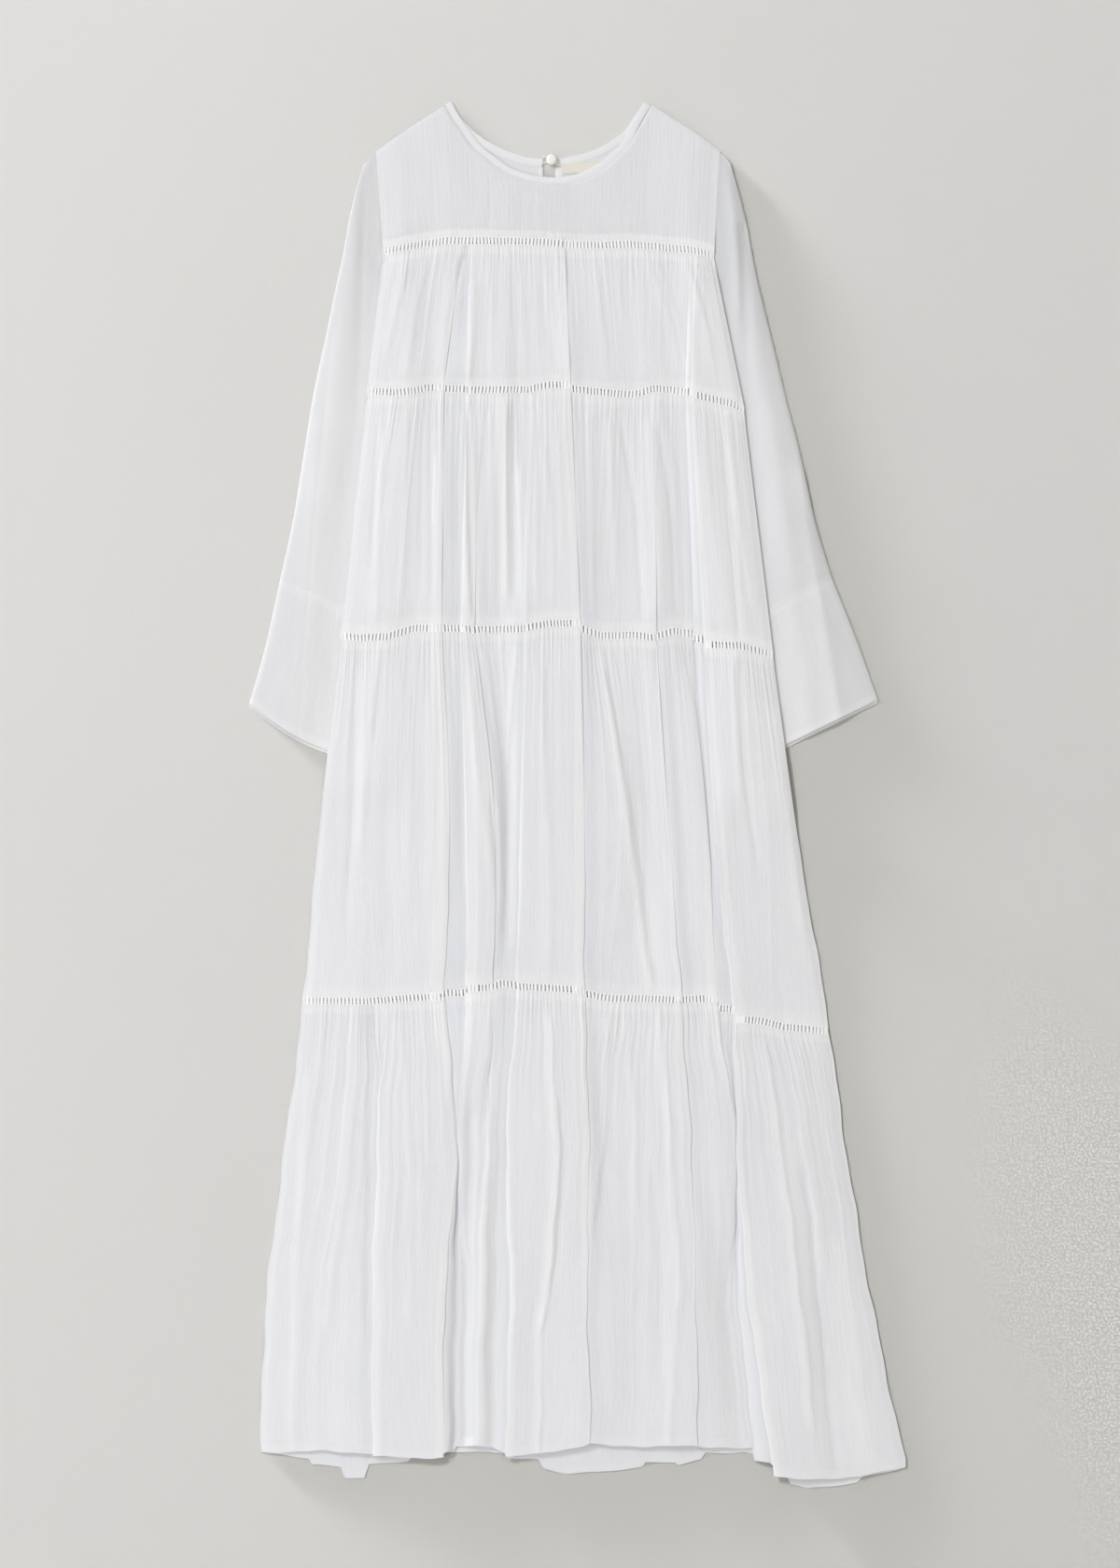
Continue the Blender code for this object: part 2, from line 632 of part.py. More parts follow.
front_foot = [Edge(knot.across, knot.down_top) for knot in foot_knots]
back_foot = [Edge(across, back_seam("ladder_1", ladder_row, across)) for across in back_places(ladder_row)]
rows, columns = yoke(FRONT_TOP, front_foot, yoke_front_height)
cloth("yoke_front", rows)
rows, columns = yoke(BACK_TOP, back_foot, lambda across, part: WALL / 2)
slit = {
    (row, index)
    for row in (0, 1)
    for index, column in enumerate(columns[:-1])
    if column[0] > -14.1 and columns[index + 1][0] < 12.7
}
cloth("yoke_back", rows, holes=slit)


def strip(edges, start, end, height):
    """Two lines of points beside an edge, offset square to it toward the cloth."""
    lines = ([], [])
    for index, edge in enumerate(edges):
        before = edges[max(0, index - 1)]
        after = edges[min(len(edges) - 1, index + 1)]
        run, fall = after.across - before.across, after.down - before.down
        size = math.hypot(run, fall)
        for line, offset in zip(lines, (start, end)):
            across = edge.across - fall / size * offset
            down = edge.down + run / size * offset
            line.append(place(across, down, height))
    return lines


cloth("neck_binding_front", strip(FRONT_NECK, 0.0, BINDING_WIDTH, 2.95), WHITE_SEAM, BINDING_WALL)
cloth("neck_binding_back_left", strip(BACK_NECK_LEFT, 0.0, BINDING_WIDTH, 0.7), WHITE_SEAM, BINDING_WALL)
cloth("neck_binding_back_right", strip(BACK_NECK_RIGHT, 0.0, BINDING_WIDTH, 0.7), WHITE_SEAM, BINDING_WALL)

label_line = [
    Edge(across, along(BACK_NECK_RIGHT, across))
    for across in (between(LABEL_START, LABEL_END, index / 5) for index in range(6))
]
label_start = BINDING_WIDTH + 0.6
cloth("neck_label", strip(label_line, label_start, label_start + LABEL_HEIGHT, 1.6), CREAM_RIBBON, 0.6)

# Bound edge of the keyhole slit: a flat outline in the shape of a U
outline = bpy.data.curves.new("keyhole_binding", "CURVE")
outline.dimensions = "2D"
outline.fill_mode = "BOTH"
outline.extrude = WALL / 2 * MM
corners = [
    (SLIT_OUTER_LEFT, SLIT_TOP), (SLIT_LEFT, SLIT_TOP), (SLIT_LEFT, SLIT_END), (SLIT_RIGHT, SLIT_END),
    (SLIT_RIGHT, SLIT_TOP), (SLIT_OUTER_RIGHT, SLIT_TOP), (SLIT_OUTER_RIGHT, SLIT_OUTER_END),
    (SLIT_OUTER_LEFT, SLIT_OUTER_END),
]
path = outline.splines.new("POLY")
path.points.add(len(corners) - 1)
for point, (across, down) in zip(path.points, corners):
    spot = place(across, down, 0.0)
    point.co = (spot.x, spot.y, 0.0, 1.0)
path.use_cyclic_u = True
keyhole = bpy.data.objects.new("keyhole_binding", outline)
keyhole.location.z = WALL / 2 * MM
dress.objects.link(keyhole)
finish_object(keyhole, WHITE_SEAM, 0.9)

# Pearl shank button, turned about its own axis
profile = [
    (0.0, 4.5), (2.6, 4.2), (4.6, 3.2), (BUTTON_RADIUS, 1.9), (5.0, 0.8), (2.6, 0.3), (1.0, 0.0),
    (1.0, -0.9), (0.0, -0.9),
]
button_mesh = bpy.data.meshes.new("button")
button_mesh.from_pydata(
    [(radius * MM, 0.0, height * MM) for radius, height in profile],
    [(index, index + 1) for index in range(len(profile) - 1)],
    [],
)
button = bpy.data.objects.new("button", button_mesh)
turn = button.modifiers.new("Turn", "SCREW")
turn.steps = 20
turn.render_steps = 20
turn.use_merge_vertices = True
turn.merge_threshold = 0.00001
turn.use_smooth_shade = True
button.location = place(BUTTON_ACROSS, BUTTON_DOWN, BINDING_WALL + 0.35)
dress.objects.link(button)
finish_object(button, PEARL, 0.25)

# Thread loop from the left binding, round the button's shank
loop_curve = bpy.data.curves.new("button_loop", "CURVE")
loop_curve.dimensions = "3D"
loop_curve.bevel_depth = LOOP_RADIUS * MM
loop_curve.bevel_resolution = 1
loop_curve.use_fill_caps = True
loop_path = loop_curve.splines.new("POLY")
turns = 10
loop_path.points.add(turns + 2)
for index, point in enumerate(loop_path.points):
    if index in (0, turns + 2):
        across, swing = -7.2, -1.0 if index == 0 else 1.0
    else:
        angle = math.pi * ((index - 1) / turns - 0.5)
        across, swing = 0.4 + 3.0 * math.cos(angle), math.sin(angle)
    spot = place(across, BUTTON_DOWN + 3.0 * swing, 0.75)
    point.co = (spot.x, spot.y, spot.z, 1.0)
loop = bpy.data.objects.new("button_loop", loop_curve)
dress.objects.link(loop)
finish_object(loop, WHITE_SEAM, 0.8)


# Sleeves and cuffs: flattened tubes, the front layer lying on the back layer
SIDE_EDGES = {
    "left": [Edge(ACROSS[0].ladder_1, 0), Edge(ACROSS[0].ladder_1, 157), Edge(ACROSS[0].ladder_2, 302),
             Edge(ACROSS[0].ladder_3, 556), Edge(ACROSS[0].middle_3, 745)],
    "right": [Edge(ACROSS[-1].ladder_1, 0), Edge(ACROSS[-1].ladder_1, 163), Edge(ACROSS[-1].ladder_2, 322),
              Edge(ACROSS[-1].ladder_3, 576), Edge(ACROSS[-1].middle_3, 760)],
}


def across_at(edge, down):
    """Across of an edge table at a place down it."""
    for first, second in zip(edge, edge[1:]):
        if down <= second.down:
            return between(first.across, second.across, (down - first.down) / (second.down - first.down))
    return edge[-1].across


def crease_height(side, across, down):
    """Sum of the soft creases of one sleeve at a place on it."""
    total = 0.0
    for crease in CREASES:
        if crease.side != side:
            continue
        if down < crease.middle_down:
            part = (down - crease.start_down) / (crease.middle_down - crease.start_down)
            middle = between(crease.start, crease.middle, part)
        else:
            part = (down - crease.middle_down) / (crease.end_down - crease.middle_down)
            middle = between(crease.middle, crease.end, part)
        fade = ramp((down - crease.start_down) / 40.0 + 0.4) * ramp((crease.end_down - down) / 60.0 + 0.3)
        total += crease.height * fade * math.exp(-((across - middle) / crease.width) ** 2)
    return total


FRONT_PARTS = (0.0, None, 0.14, 0.27, 0.40, 0.52, 0.64, 0.76, 0.88, None)
SLEEVE_LOW = 1.85


def tube_row(side, cut, bow):
    """Points round a flattened sleeve, from its inner edge over the front and back again."""
    width = math.hypot(cut.outer_across - cut.inner_across, cut.outer_down - cut.inner_down)
    edge = 1.2 / width
    outward = -1 if side == "left" else 1
    parts = [edge if part is None and index == 1 else 1 - edge if part is None else part
             for index, part in enumerate(FRONT_PARTS)]
    line = []
    for index, part in enumerate(parts):
        across = between(cut.inner_across, cut.outer_across, part)
        down = between(cut.inner_down, cut.outer_down, part) + bow(part)
        clear = outward * (across - across_at(SIDE_EDGES[side], down)) - 3.0
        swell = cut.puff * math.sin(math.pi * part) ** 0.8 * ramp(clear / 14.0)
        swell += crease_height(side, across, down) * ramp(clear / 10.0)
        height = SLEEVE_LOW + max(0.0, swell)
        if index == 0 and cut.joined:
            height = (SLEEVE_LOW + WALL / 2) / 2
        line.append(place(across, down, height))
    line.append(place(cut.outer_across + outward * 0.3, cut.outer_down + bow(1.0), (SLEEVE_LOW + WALL / 2) / 2))
    for part in (1 - edge, 0.5, edge):
        across = between(cut.inner_across, cut.outer_across, part)
        down = between(cut.inner_down, cut.outer_down, part) + bow(part)
        line.append(place(across, down, WALL / 2))
    last = (SLEEVE_LOW + WALL / 2) / 2 if cut.joined else WALL / 2
    line.append(place(cut.inner_across, cut.inner_down + bow(0.0), last))
    return line


for side, cuts in SLEEVES.items():
    rows = [tube_row(side, cut, lambda part: 0.0) for cut in cuts]
    cloth("sleeve_" + side, rows, weld=True)

CUFF_BOW = {"left": 12.0, "right": 0.0}
for side, cuts in CUFFS.items():
    rows = []
    for index, cut in enumerate(cuts):
        depth = CUFF_BOW[side] * index / (len(cuts) - 1)
        rows.append(tube_row(side, cut, lambda part: depth * math.sin(math.pi * part) * (0.6 + 0.6 * part)))
    cloth("cuff_" + side, rows, WHITE_SEAM, weld=True)
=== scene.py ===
"""Long tiered dress in thin white cotton voile, laid flat on its back on a pale floor.

The tables are in millimetres. "across" runs from the centre front to the wearer's left,
"down" runs from the high shoulder point to the hem, and "height" is above the floor.
"""
import math
from collections import namedtuple

import bpy
import numpy as np
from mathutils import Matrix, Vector


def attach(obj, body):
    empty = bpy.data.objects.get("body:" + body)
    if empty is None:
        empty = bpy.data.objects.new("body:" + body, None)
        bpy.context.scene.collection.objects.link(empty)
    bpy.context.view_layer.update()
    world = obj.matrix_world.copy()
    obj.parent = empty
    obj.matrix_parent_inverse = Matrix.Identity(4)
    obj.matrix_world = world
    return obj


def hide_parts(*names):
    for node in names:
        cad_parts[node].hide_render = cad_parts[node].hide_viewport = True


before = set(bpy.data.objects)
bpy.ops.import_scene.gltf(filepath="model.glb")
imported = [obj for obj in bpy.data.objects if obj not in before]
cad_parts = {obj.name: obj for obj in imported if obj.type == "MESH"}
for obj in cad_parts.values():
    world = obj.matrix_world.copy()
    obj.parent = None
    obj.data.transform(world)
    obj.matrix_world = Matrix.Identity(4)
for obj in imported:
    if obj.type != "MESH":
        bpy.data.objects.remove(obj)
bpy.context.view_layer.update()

# Metres in a millimetre, and where the dress's own measures start in the model
MM = 0.001
SHIFT_ACROSS = -27.1
MIDDLE_DOWN = 721.3

# Heights of the cloth above the floor, and how far it rises over the sleeves
LOW = 2.0
BACK_LOW = 0.35
BACK_MEETS = 1.0
BACK_TUCK = 0.3
SLEEVE_LOW = 1.85
SLEEVE_LIFT = 2.6
LIFT_RAMP = 34.0

# Sides of the skirt: how far and how wide they droop, their sway and the hem's waves
SIDE_DROOP = 0.7
SIDE_ROUND = 9.0
SWAY = 0.9
HEM_WAVE = 0.7

# Sewn parts: the ladder with its bars, the hem, the doubled seams and the bindings
LADDER_HEIGHT = 8.0
LADDER_OVERLAP = 0.1
BAR_PITCH = 3.7
BAR_SHARE = 0.62
HEM_HEIGHT = 9.0
SEAM_BAND = 9.0
BINDING_WIDTH = 8.2

# Shares of the tabled heights that are used, so that the cloth looks soft
SOFTER_RISE = 0.8
LAP_STEP = 0.66
CREASE_DEPTH = 0.58
GATHER_DEPTH = 0.58
SEAM_RISE = 0.6

# Largest turn between two faces that is still smooth
RIM_ANGLE = math.radians(50.0)

# Thickness of each kind of cloth in mm, as it lies
WALL = {
    "front": 0.4, "back": 0.35, "hem_front": 0.5, "hem_back": 0.45, "ladder": 0.5, "binding": 0.7,
    "keyhole": 0.4, "label": 0.35, "sleeve": 0.35, "cuff": 0.45,
}

# How many layers of cloth each part shows, from 0 for the thinnest to 1 for the thickest; the right sleeve
# and cuff are set lower than the left ones as painted shade, where the light falls off to the right
LAYERS = {
    "front": 0.36, "back": 0.18, "hem_back": 0.30, "ladder": 0.55, "yoke_front": 0.24, "yoke_back": 0.22,
    # sleeve_right and cuff_right are lower than their left twins as painted shade
    "binding": 0.62, "keyhole": 0.7, "label": 0.5, "sleeve_left": 0.33, "sleeve_right": 0.0,
    "cuff_left": 0.36, "cuff_right": 0.18,
}

# Layers more where cloth is doubled at a seam
SEAM_LAYERS = {"front": 0.28, "back": 0.55, "yoke_front": 0.55, "yoke_back": 0.50}

# Layers more at a lap (which also scales the painted shade beside it), over the sleeves, at the hem, the
# armhole and a sleeve's two ends, and the painted light and shade on a gather's crests and hollows
LAP_LAYERS_AND_SHADE = 0.30
RAISED_LAYERS = 0.15
RIPPLE_LIGHT_AND_SHADE = 0.20
HEM_LAYERS = 0.12
ARMHOLE_LAYERS = 0.20
SLEEVE_END_LAYERS = 0.15
CUFF_TOP_LAYERS = 0.12
CUFF_END_LAYERS = 0.20

# Layers more at a sleeve's long fold and rim, and the strength of the painted shade on the lower cloth beside
# a lap's edge
FOLD_BAND = 0.30
LAP_SHADE = 1.3

# Fine gathers in the surface: on open cloth, more of them beside a seam, and how far down they reach
FINE_OPEN = 0.24
FINE_SEWN = 0.60
FINE_REACH = 60.0

# Colours of thin and thick cloth, with a darker thin colour for the sleeves and cuffs as painted shade, and
# the shares of light that pass through it
THIN = (0.80, 0.812, 0.865)
SHADED_SLEEVE_THIN = (0.735, 0.745, 0.785)
THICK = (0.935, 0.94, 0.97)
BRAID_THIN = (0.93, 0.935, 0.95)
BRAID_THICK = (0.96, 0.96, 0.97)
GLOW = 0.12
SHEER = 0.42

# Where each vertical fold or swell of the front crosses each section of the skirt.
# An "over" fold lies left over right, an "under" fold right over left.
Fold = namedtuple("Fold", "name kind ladder_1 ladder_2 ladder_3 middle_3 ladder_4 upper_4 lower_4 hem")
ACROSS = [
    Fold("side_left", "edge", -174, -191, -218, -239, -257, -277, -296, -302),
    Fold("swell_a", "crest", -146, -161, -199, -205, -199, -208, -233, -238),
    Fold("fold_l", "under", -128, -146, -173, -177, -177, -180, -185, -185),
    Fold("swell_b", "crest", -107, -128, -141, -148, -141, -138, -146, -146),
    Fold("fold_a1", "over", -92, -111, -113, -105, -110, -98, -110, -111),
    Fold("fold_a2", "under", -84, -87, -93, -89, -87, -96, -92, -94),
    Fold("fold_e", "over", -68, -73, -79, -59, -59, -67, -74, -76),
    Fold("swell_c", "crest", -48, -46, -52, -44, -48, -56, -58, -60),
    Fold("fold_f", "under", -29, -26, -27, -31, -35, -46, -42, -46),
    Fold("swell_d", "crest", -5, -2, -2, -2, 0, 6, -7, -10),
    Fold("fold_b", "over", 15, 21, 31, 35, 35, 40, 38, 42),
    Fold("swell_e", "crest", 48, 63, 53, 78, 63, 53, 63, 63),
    Fold("swell_f", "crest", 80, 87, 87, 99, 97, 91, 89, 87),
    Fold("fold_d", "over", 107, 109, 110, 122, 136, 146, 151, 153),
    Fold("swell_g", "crest", 124, 124, 128, 144, 153, 167, 170, 177),
    Fold("fold_c1", "over", 141, 136, 143, 162, 173, 193, 189, 204),
    Fold("fold_c2", "under", 150, 146, 160, 171, 190, 195, 209, 231),
    Fold("swell_h", "crest", 160, 175, 196, 207, 219, 244, 262, 272),
    Fold("swell_r", "crest", 165, 189, 213, 235, 242, 270, 286, 301),
    Fold("side_right", "edge", 170, 201, 231, 257, 290, 311, 338, 368),
]

# How far the cloth laps under itself at each fold. A lap of 0 is a plain swell.
LAP = [
    Fold("fold_l", "under", 0, 0, 0, 0, 0, 4, 8, 8),
    Fold("fold_a1", "over", 0, 8, 14, 18, 16, 6, 10, 10),
    Fold("fold_a2", "under", 0, 5, 6, 13, 12, 5, 0, 0),
    Fold("fold_e", "over", 0, 0, 3, 4, 4, 0, 0, 0),
    Fold("fold_f", "under", 0, 0, 3, 4, 3, 3, 7, 8),
    Fold("fold_b", "over", 2, 8, 10, 12, 12, 10, 6, 4),
    Fold("fold_d", "over", 0, 0, 3, 5, 8, 5, 4, 3),
    Fold("fold_c1", "over", 0, 0, 0, 6, 13, 5, 0, 0),
    Fold("fold_c2", "under", 0, 4, 8, 10, 13, 8, 10, 10),
]

# Height of the cloth at each swell, and of the upper layer at each fold.
RISE = [
    Fold("side_left", "edge", 0.0, 0.0, 0.0, 0.0, 0.0, 0.0, 0.0, 0.0),
    Fold("swell_a", "crest", 0.8, 1.5, 1.5, 1.2, 1.5, 2.5, 3.0, 2.5),
    Fold("fold_l", "under", 0.9, 2.0, 2.0, 2.5, 2.0, 4.2, 4.4, 4.4),
    Fold("swell_b", "crest", 1.0, 2.5, 3.5, 4.5, 3.0, 5.0, 5.0, 4.5),
    Fold("fold_a1", "over", 1.0, 4.2, 4.4, 5.0, 4.6, 4.6, 4.4, 4.4),
    Fold("fold_a2", "under", 1.0, 4.2, 4.4, 5.0, 4.6, 4.6, 1.0, 0.6),
    Fold("fold_e", "over", 1.2, 3.2, 4.2, 4.6, 4.4, 4.0, 4.5, 4.0),
    Fold("swell_c", "crest", 1.2, 4.0, 1.0, 0.8, 3.5, 3.5, 2.0, 2.0),
    Fold("fold_f", "under", 1.2, 2.0, 4.2, 4.6, 4.4, 4.4, 4.6, 4.4),
    Fold("swell_d", "crest", 1.2, 3.2, 4.5, 5.5, 4.4, 5.5, 4.5, 4.0),
    Fold("fold_b", "over", 1.2, 4.2, 4.6, 5.2, 4.6, 5.0, 4.6, 4.4),
    Fold("swell_e", "crest", 1.2, 2.0, 2.0, 4.0, 2.5, 3.5, 3.5, 3.0),
    Fold("swell_f", "crest", 1.0, 1.2, 1.2, 1.5, 1.5, 3.0, 3.0, 3.0),
    Fold("fold_d", "over", 1.0, 2.5, 4.2, 4.4, 4.4, 4.6, 4.4, 4.2),
    Fold("swell_g", "crest", 0.9, 1.5, 2.5, 3.8, 4.2, 4.2, 3.0, 3.0),
    Fold("fold_c1", "over", 0.8, 0.6, 0.8, 4.2, 4.4, 4.4, 1.2, 1.0),
    Fold("fold_c2", "under", 0.8, 4.2, 4.4, 5.0, 4.6, 4.8, 4.6, 4.6),
    Fold("swell_h", "crest", 0.6, 2.0, 3.4, 4.0, 4.0, 4.2, 5.0, 4.5),
    Fold("swell_r", "crest", 0.4, 1.2, 1.8, 3.0, 3.0, 3.0, 2.2, 2.0),
    Fold("side_right", "edge", 0.0, 0.0, 0.0, 0.0, 0.0, 0.0, 0.0, 0.0),
]

# How far down each seam and the hem lie where each fold crosses them.
Seam = namedtuple("Seam", "name ladder_1 ladder_2 ladder_3 ladder_4 hem")
SEAM_DOWN = [
    Seam("side_left", 157, 302, 556, 935, 1405),
    Seam("swell_a", 151, 303, 558, 936, 1403),
    Seam("fold_l", 148, 302, 557, 935, 1408),
    Seam("swell_b", 145, 298, 548, 932, 1410),
    Seam("fold_a1", 145, 298, 548, 931, 1410),
    Seam("fold_a2", 145, 301, 548, 923, 1399),
    Seam("fold_e", 145, 300, 550, 921, 1398),
    Seam("swell_c", 146, 300, 549, 917, 1398),
    Seam("fold_f", 146, 300, 549, 920, 1409),
    Seam("swell_d", 147, 295, 543, 922, 1406),
    Seam("fold_b", 149, 295, 543, 925, 1394),
    Seam("swell_e", 150, 304, 556, 933, 1398),
    Seam("swell_f", 149, 305, 555, 933, 1398),
    Seam("fold_d", 151, 299, 559, 935, 1398),
    Seam("swell_g", 153, 300, 551, 933, 1399),
    Seam("fold_c1", 154, 302, 553, 933, 1401),
    Seam("fold_c2", 156, 303, 565, 954, 1428),
    Seam("swell_h", 158, 312, 566, 956, 1433),
    Seam("swell_r", 160, 315, 571, 962, 1432),
    Seam("side_right", 163, 322, 576, 967, 1421),
]

# Sections that each tier runs through, with how far down the tier each one lies
SECTIONS = {
    "tier_1": ((0.0, "ladder_1"), (1.0, "ladder_2")),
    "tier_2": ((0.0, "ladder_2"), (1.0, "ladder_3")),
    "tier_3": ((0.0, "ladder_3"), (0.49, "middle_3"), (1.0, "ladder_4")),
    "tier_4": ((0.0, "ladder_4"), (0.33, "upper_4"), (0.68, "lower_4"), (1.0, "hem")),
}
TIER_SEAMS = {
    "tier_1": ("ladder_1", "ladder_2"),
    "tier_2": ("ladder_2", "ladder_3"),
    "tier_3": ("ladder_3", "ladder_4"),
    "tier_4": ("ladder_4", "hem"),
}

# Length of each tier from seam to seam
LENGTHS = {"tier_1": 146, "tier_2": 250, "tier_3": 375, "tier_4": 462}

# Fineness of each tier's sheet: width of a step on its panels in mm, and rows down its front and back
Fineness = namedtuple("Fineness", "step rows back_rows")
FINENESS = {
    "tier_1": Fineness(1.0, 34, 32),
    "tier_2": Fineness(1.05, 46, 46),
    "tier_3": Fineness(1.15, 58, 62),
    "tier_4": Fineness(1.35, 66, 76),
}

# How much closer rows lie at the top of a tier, and how far down its hem the hem's rows lie
ROW_POWER = {"front": 1.2, "back": 1.15}
HEM_STEPS = {"front": (2.5, 5.0, 7.5, HEM_HEIGHT), "back": (3.0, 6.0, HEM_HEIGHT)}

# Steps across and down each side of the yoke, rows of a sleeve and a cuff, and steps round them
YOKE_STEPS = {"front": (200, 78), "back": (150, 62)}
SLEEVE_ROWS, CUFF_ROWS = 128, 46
TUBE_STEPS = (64, 34)

# Folds of the front that the seams of the back follow
BACK_MARKS = ("side_left", "fold_l", "swell_d", "swell_h", "side_right")

# Gathers below each seam: their spacing, height and width in mm, and how far down they reach
Gathers = namedtuple("Gathers", "pitch height width reach")
GATHERS = {
    "tier_1": (Gathers(3.6, 0.26, 0.9, 0.45), Gathers(7.0, 0.42, 1.5, 0.9), Gathers(13.0, 0.6, 2.8, 1.4)),
    "tier_2": (Gathers(3.6, 0.28, 0.9, 0.30), Gathers(7.0, 0.45, 1.5, 0.7), Gathers(13.0, 0.7, 3.0, 1.4)),
    "tier_3": (Gathers(3.7, 0.30, 1.0, 0.22), Gathers(7.0, 0.48, 1.6, 0.5), Gathers(13.5, 0.7, 3.2, 1.3)),
    "tier_4": (Gathers(3.9, 0.32, 1.1, 0.20), Gathers(7.4, 0.50, 1.7, 0.45), Gathers(14.5, 0.8, 3.6, 1.3)),
}

# Inner end of the raised strip over each sleeve, on each section that has one.
Reach = namedtuple("Reach", "section left right")
REACH = [
    Reach("ladder_1", -160, 158),
    Reach("ladder_2", -150, 150),
    Reach("ladder_3", -172, 194),
    Reach("middle_3", -177, 202),
]

# Top edges of the yoke: shoulders and the seam where the neck binding starts.
Edge = namedtuple("Edge", "across down")
FRONT_TOP = [
    Edge(-182, 53), Edge(-160, 37), Edge(-136, 21), Edge(-111, 5), Edge(-105, 16),
    Edge(-94, 32), Edge(-80, 51), Edge(-63, 65), Edge(-44, 78), Edge(-26, 84),
    Edge(-5, 87), Edge(15, 87.2), Edge(33, 82.8), Edge(53, 73), Edge(69, 60),
    Edge(82.5, 46), Edge(93.5, 26), Edge(105.5, 5), Edge(136, 24), Edge(157, 38),
    Edge(176, 52),
]
FRONT_CORNERS = (-111, 105.5)
BACK_TOP = [
    Edge(-182, 53), Edge(-160, 37), Edge(-136, 21), Edge(-111, 5), Edge(-103, 18),
    Edge(-87, 36), Edge(-72, 47), Edge(-51, 58), Edge(-31, 65), Edge(-14, 68),
    Edge(12.6, 68), Edge(31, 64), Edge(51, 57), Edge(67, 48), Edge(81, 38),
    Edge(94, 20), Edge(105, 5), Edge(136, 24), Edge(157, 38), Edge(176, 52),
]
BACK_CORNERS = (-111, 105)
FRONT_NECK = [
    Edge(-103, 0), Edge(-97, 12), Edge(-87, 27), Edge(-73, 46), Edge(-58, 58),
    Edge(-41, 70), Edge(-24, 76), Edge(-5, 79), Edge(12, 79), Edge(29, 75),
    Edge(48, 66), Edge(63, 54), Edge(76, 40), Edge(85, 21), Edge(97, 1),
]
BACK_NECK_LEFT = [
    Edge(-103, 0), Edge(-96, 13), Edge(-82, 29), Edge(-68, 40), Edge(-48, 50),
    Edge(-29, 57), Edge(-8, 60),
]
BACK_NECK_RIGHT = [
    Edge(4.6, 60), Edge(29, 56), Edge(48, 49), Edge(63, 41), Edge(76, 31),
    Edge(87, 16), Edge(97, 1),
]

# Keyhole slit of the back: the clear width, its length and its bound edges
SLIT_LEFT = -8.0
SLIT_RIGHT = 4.6
SLIT_TOP = 68.6
SLIT_END = 120.0
SLIT_OUTER_LEFT = -12.2
SLIT_OUTER_RIGHT = 12.2
SLIT_OUTER_END = 124.6

# Plain ribbon label under the binding, and the button: its place, its radius, the height that its
# foot stands at, and the heights of its rim above that, its dome above the rim and its underside
LABEL_START, LABEL_END = 12.6, 56.0
LABEL_TOP = 64.5
LABEL_HEIGHT = 11.0
BUTTON_ACROSS, BUTTON_DOWN = 1.0, 61.0
BUTTON_RADIUS, BUTTON_BASE = 5.7, 1.75
BUTTON_RIM, BUTTON_DOME, BUTTON_FOOT = 1.9, 2.6, 1.6

# Lower edge of the back hem, which shows below the front hem
BACK_HEM = [
    Edge(-302, 1405), Edge(-274, 1408), Edge(-252, 1412), Edge(-250, 1418),
    Edge(-218, 1420), Edge(-215, 1431), Edge(-193, 1432), Edge(-190, 1418),
    Edge(-148, 1414), Edge(-142, 1408), Edge(-104, 1404), Edge(-47, 1406),
    Edge(-44, 1411), Edge(-12, 1413), Edge(-8, 1422), Edge(16, 1427),
    Edge(48, 1426), Edge(72, 1423), Edge(96, 1421), Edge(99, 1416), Edge(130, 1415),
    Edge(133, 1418), Edge(157, 1413), Edge(161, 1406), Edge(203, 1405),
    Edge(226, 1413), Edge(243, 1420), Edge(247, 1437), Edge(266, 1443),
    Edge(300, 1439), Edge(319, 1437), Edge(323, 1431), Edge(368, 1421),
]

# Sleeves: a row for each cut across the sleeve, from its outer fold to its inner edge.
# "joined" is 0 along the armhole and 1 below the underarm point.
Cut = namedtuple("Cut", "outer_across outer_down inner_across inner_down puff joined")
SLEEVES = {
    "left": [
        Cut(-194, 66, -183.6, 54, 0.6, 0),
        Cut(-201, 89, -180.0, 80, 2.0, 0),
        Cut(-209, 123, -177.6, 113, 3.0, 0),
        Cut(-215, 157, -176.2, 152, 3.5, 0),
        Cut(-223, 194, -168, 180, 4.0, 1),
        Cut(-232, 238, -158, 235, 4.5, 1),
        Cut(-246, 303, -155, 303, 5.0, 1),
        Cut(-259, 384, -163, 384, 5.0, 1),
        Cut(-268, 438, -170, 445, 4.5, 1),
        Cut(-282, 502, -179, 551, 2.5, 1),
    ],
    "right": [
        Cut(187, 65, 177.6, 53, 0.6, 0),
        Cut(196, 97, 174.6, 80, 2.0, 0),
        Cut(204, 128, 172.6, 113, 3.0, 0),
        Cut(209, 157, 172.0, 157, 3.5, 0),
        Cut(215, 186, 166, 180, 4.0, 1),
        Cut(229, 244, 158, 240, 4.5, 1),
        Cut(243, 303, 157, 303, 5.0, 1),
        Cut(259, 365, 166, 372, 5.0, 1),
        Cut(275, 438, 179, 438, 4.5, 1),
        Cut(293, 498, 201, 547, 2.5, 1),
    ],
}
CUFFS = {
    "left": [
        Cut(-281.7, 501.2, -179.2, 550.2, 2.5, 1),
        Cut(-298, 574, -181, 618, 3.5, 1),
        Cut(-313, 626, -184, 689, 2.5, 1),
    ],
    "right": [
        Cut(292.7, 497.2, 201.0, 546.2, 2.5, 1),
        Cut(317, 558, 205, 615, 3.5, 1),
        Cut(340, 622, 209, 686, 2.5, 1),
    ],
}

# How far a cuff's lower edge bows down, and how wide the body's edge presses a sleeve flat
CUFF_BOW = {"left": 12.0, "right": 0.0}
SLEEVE_RAMP = {"left": 44.0, "right": 30.0}

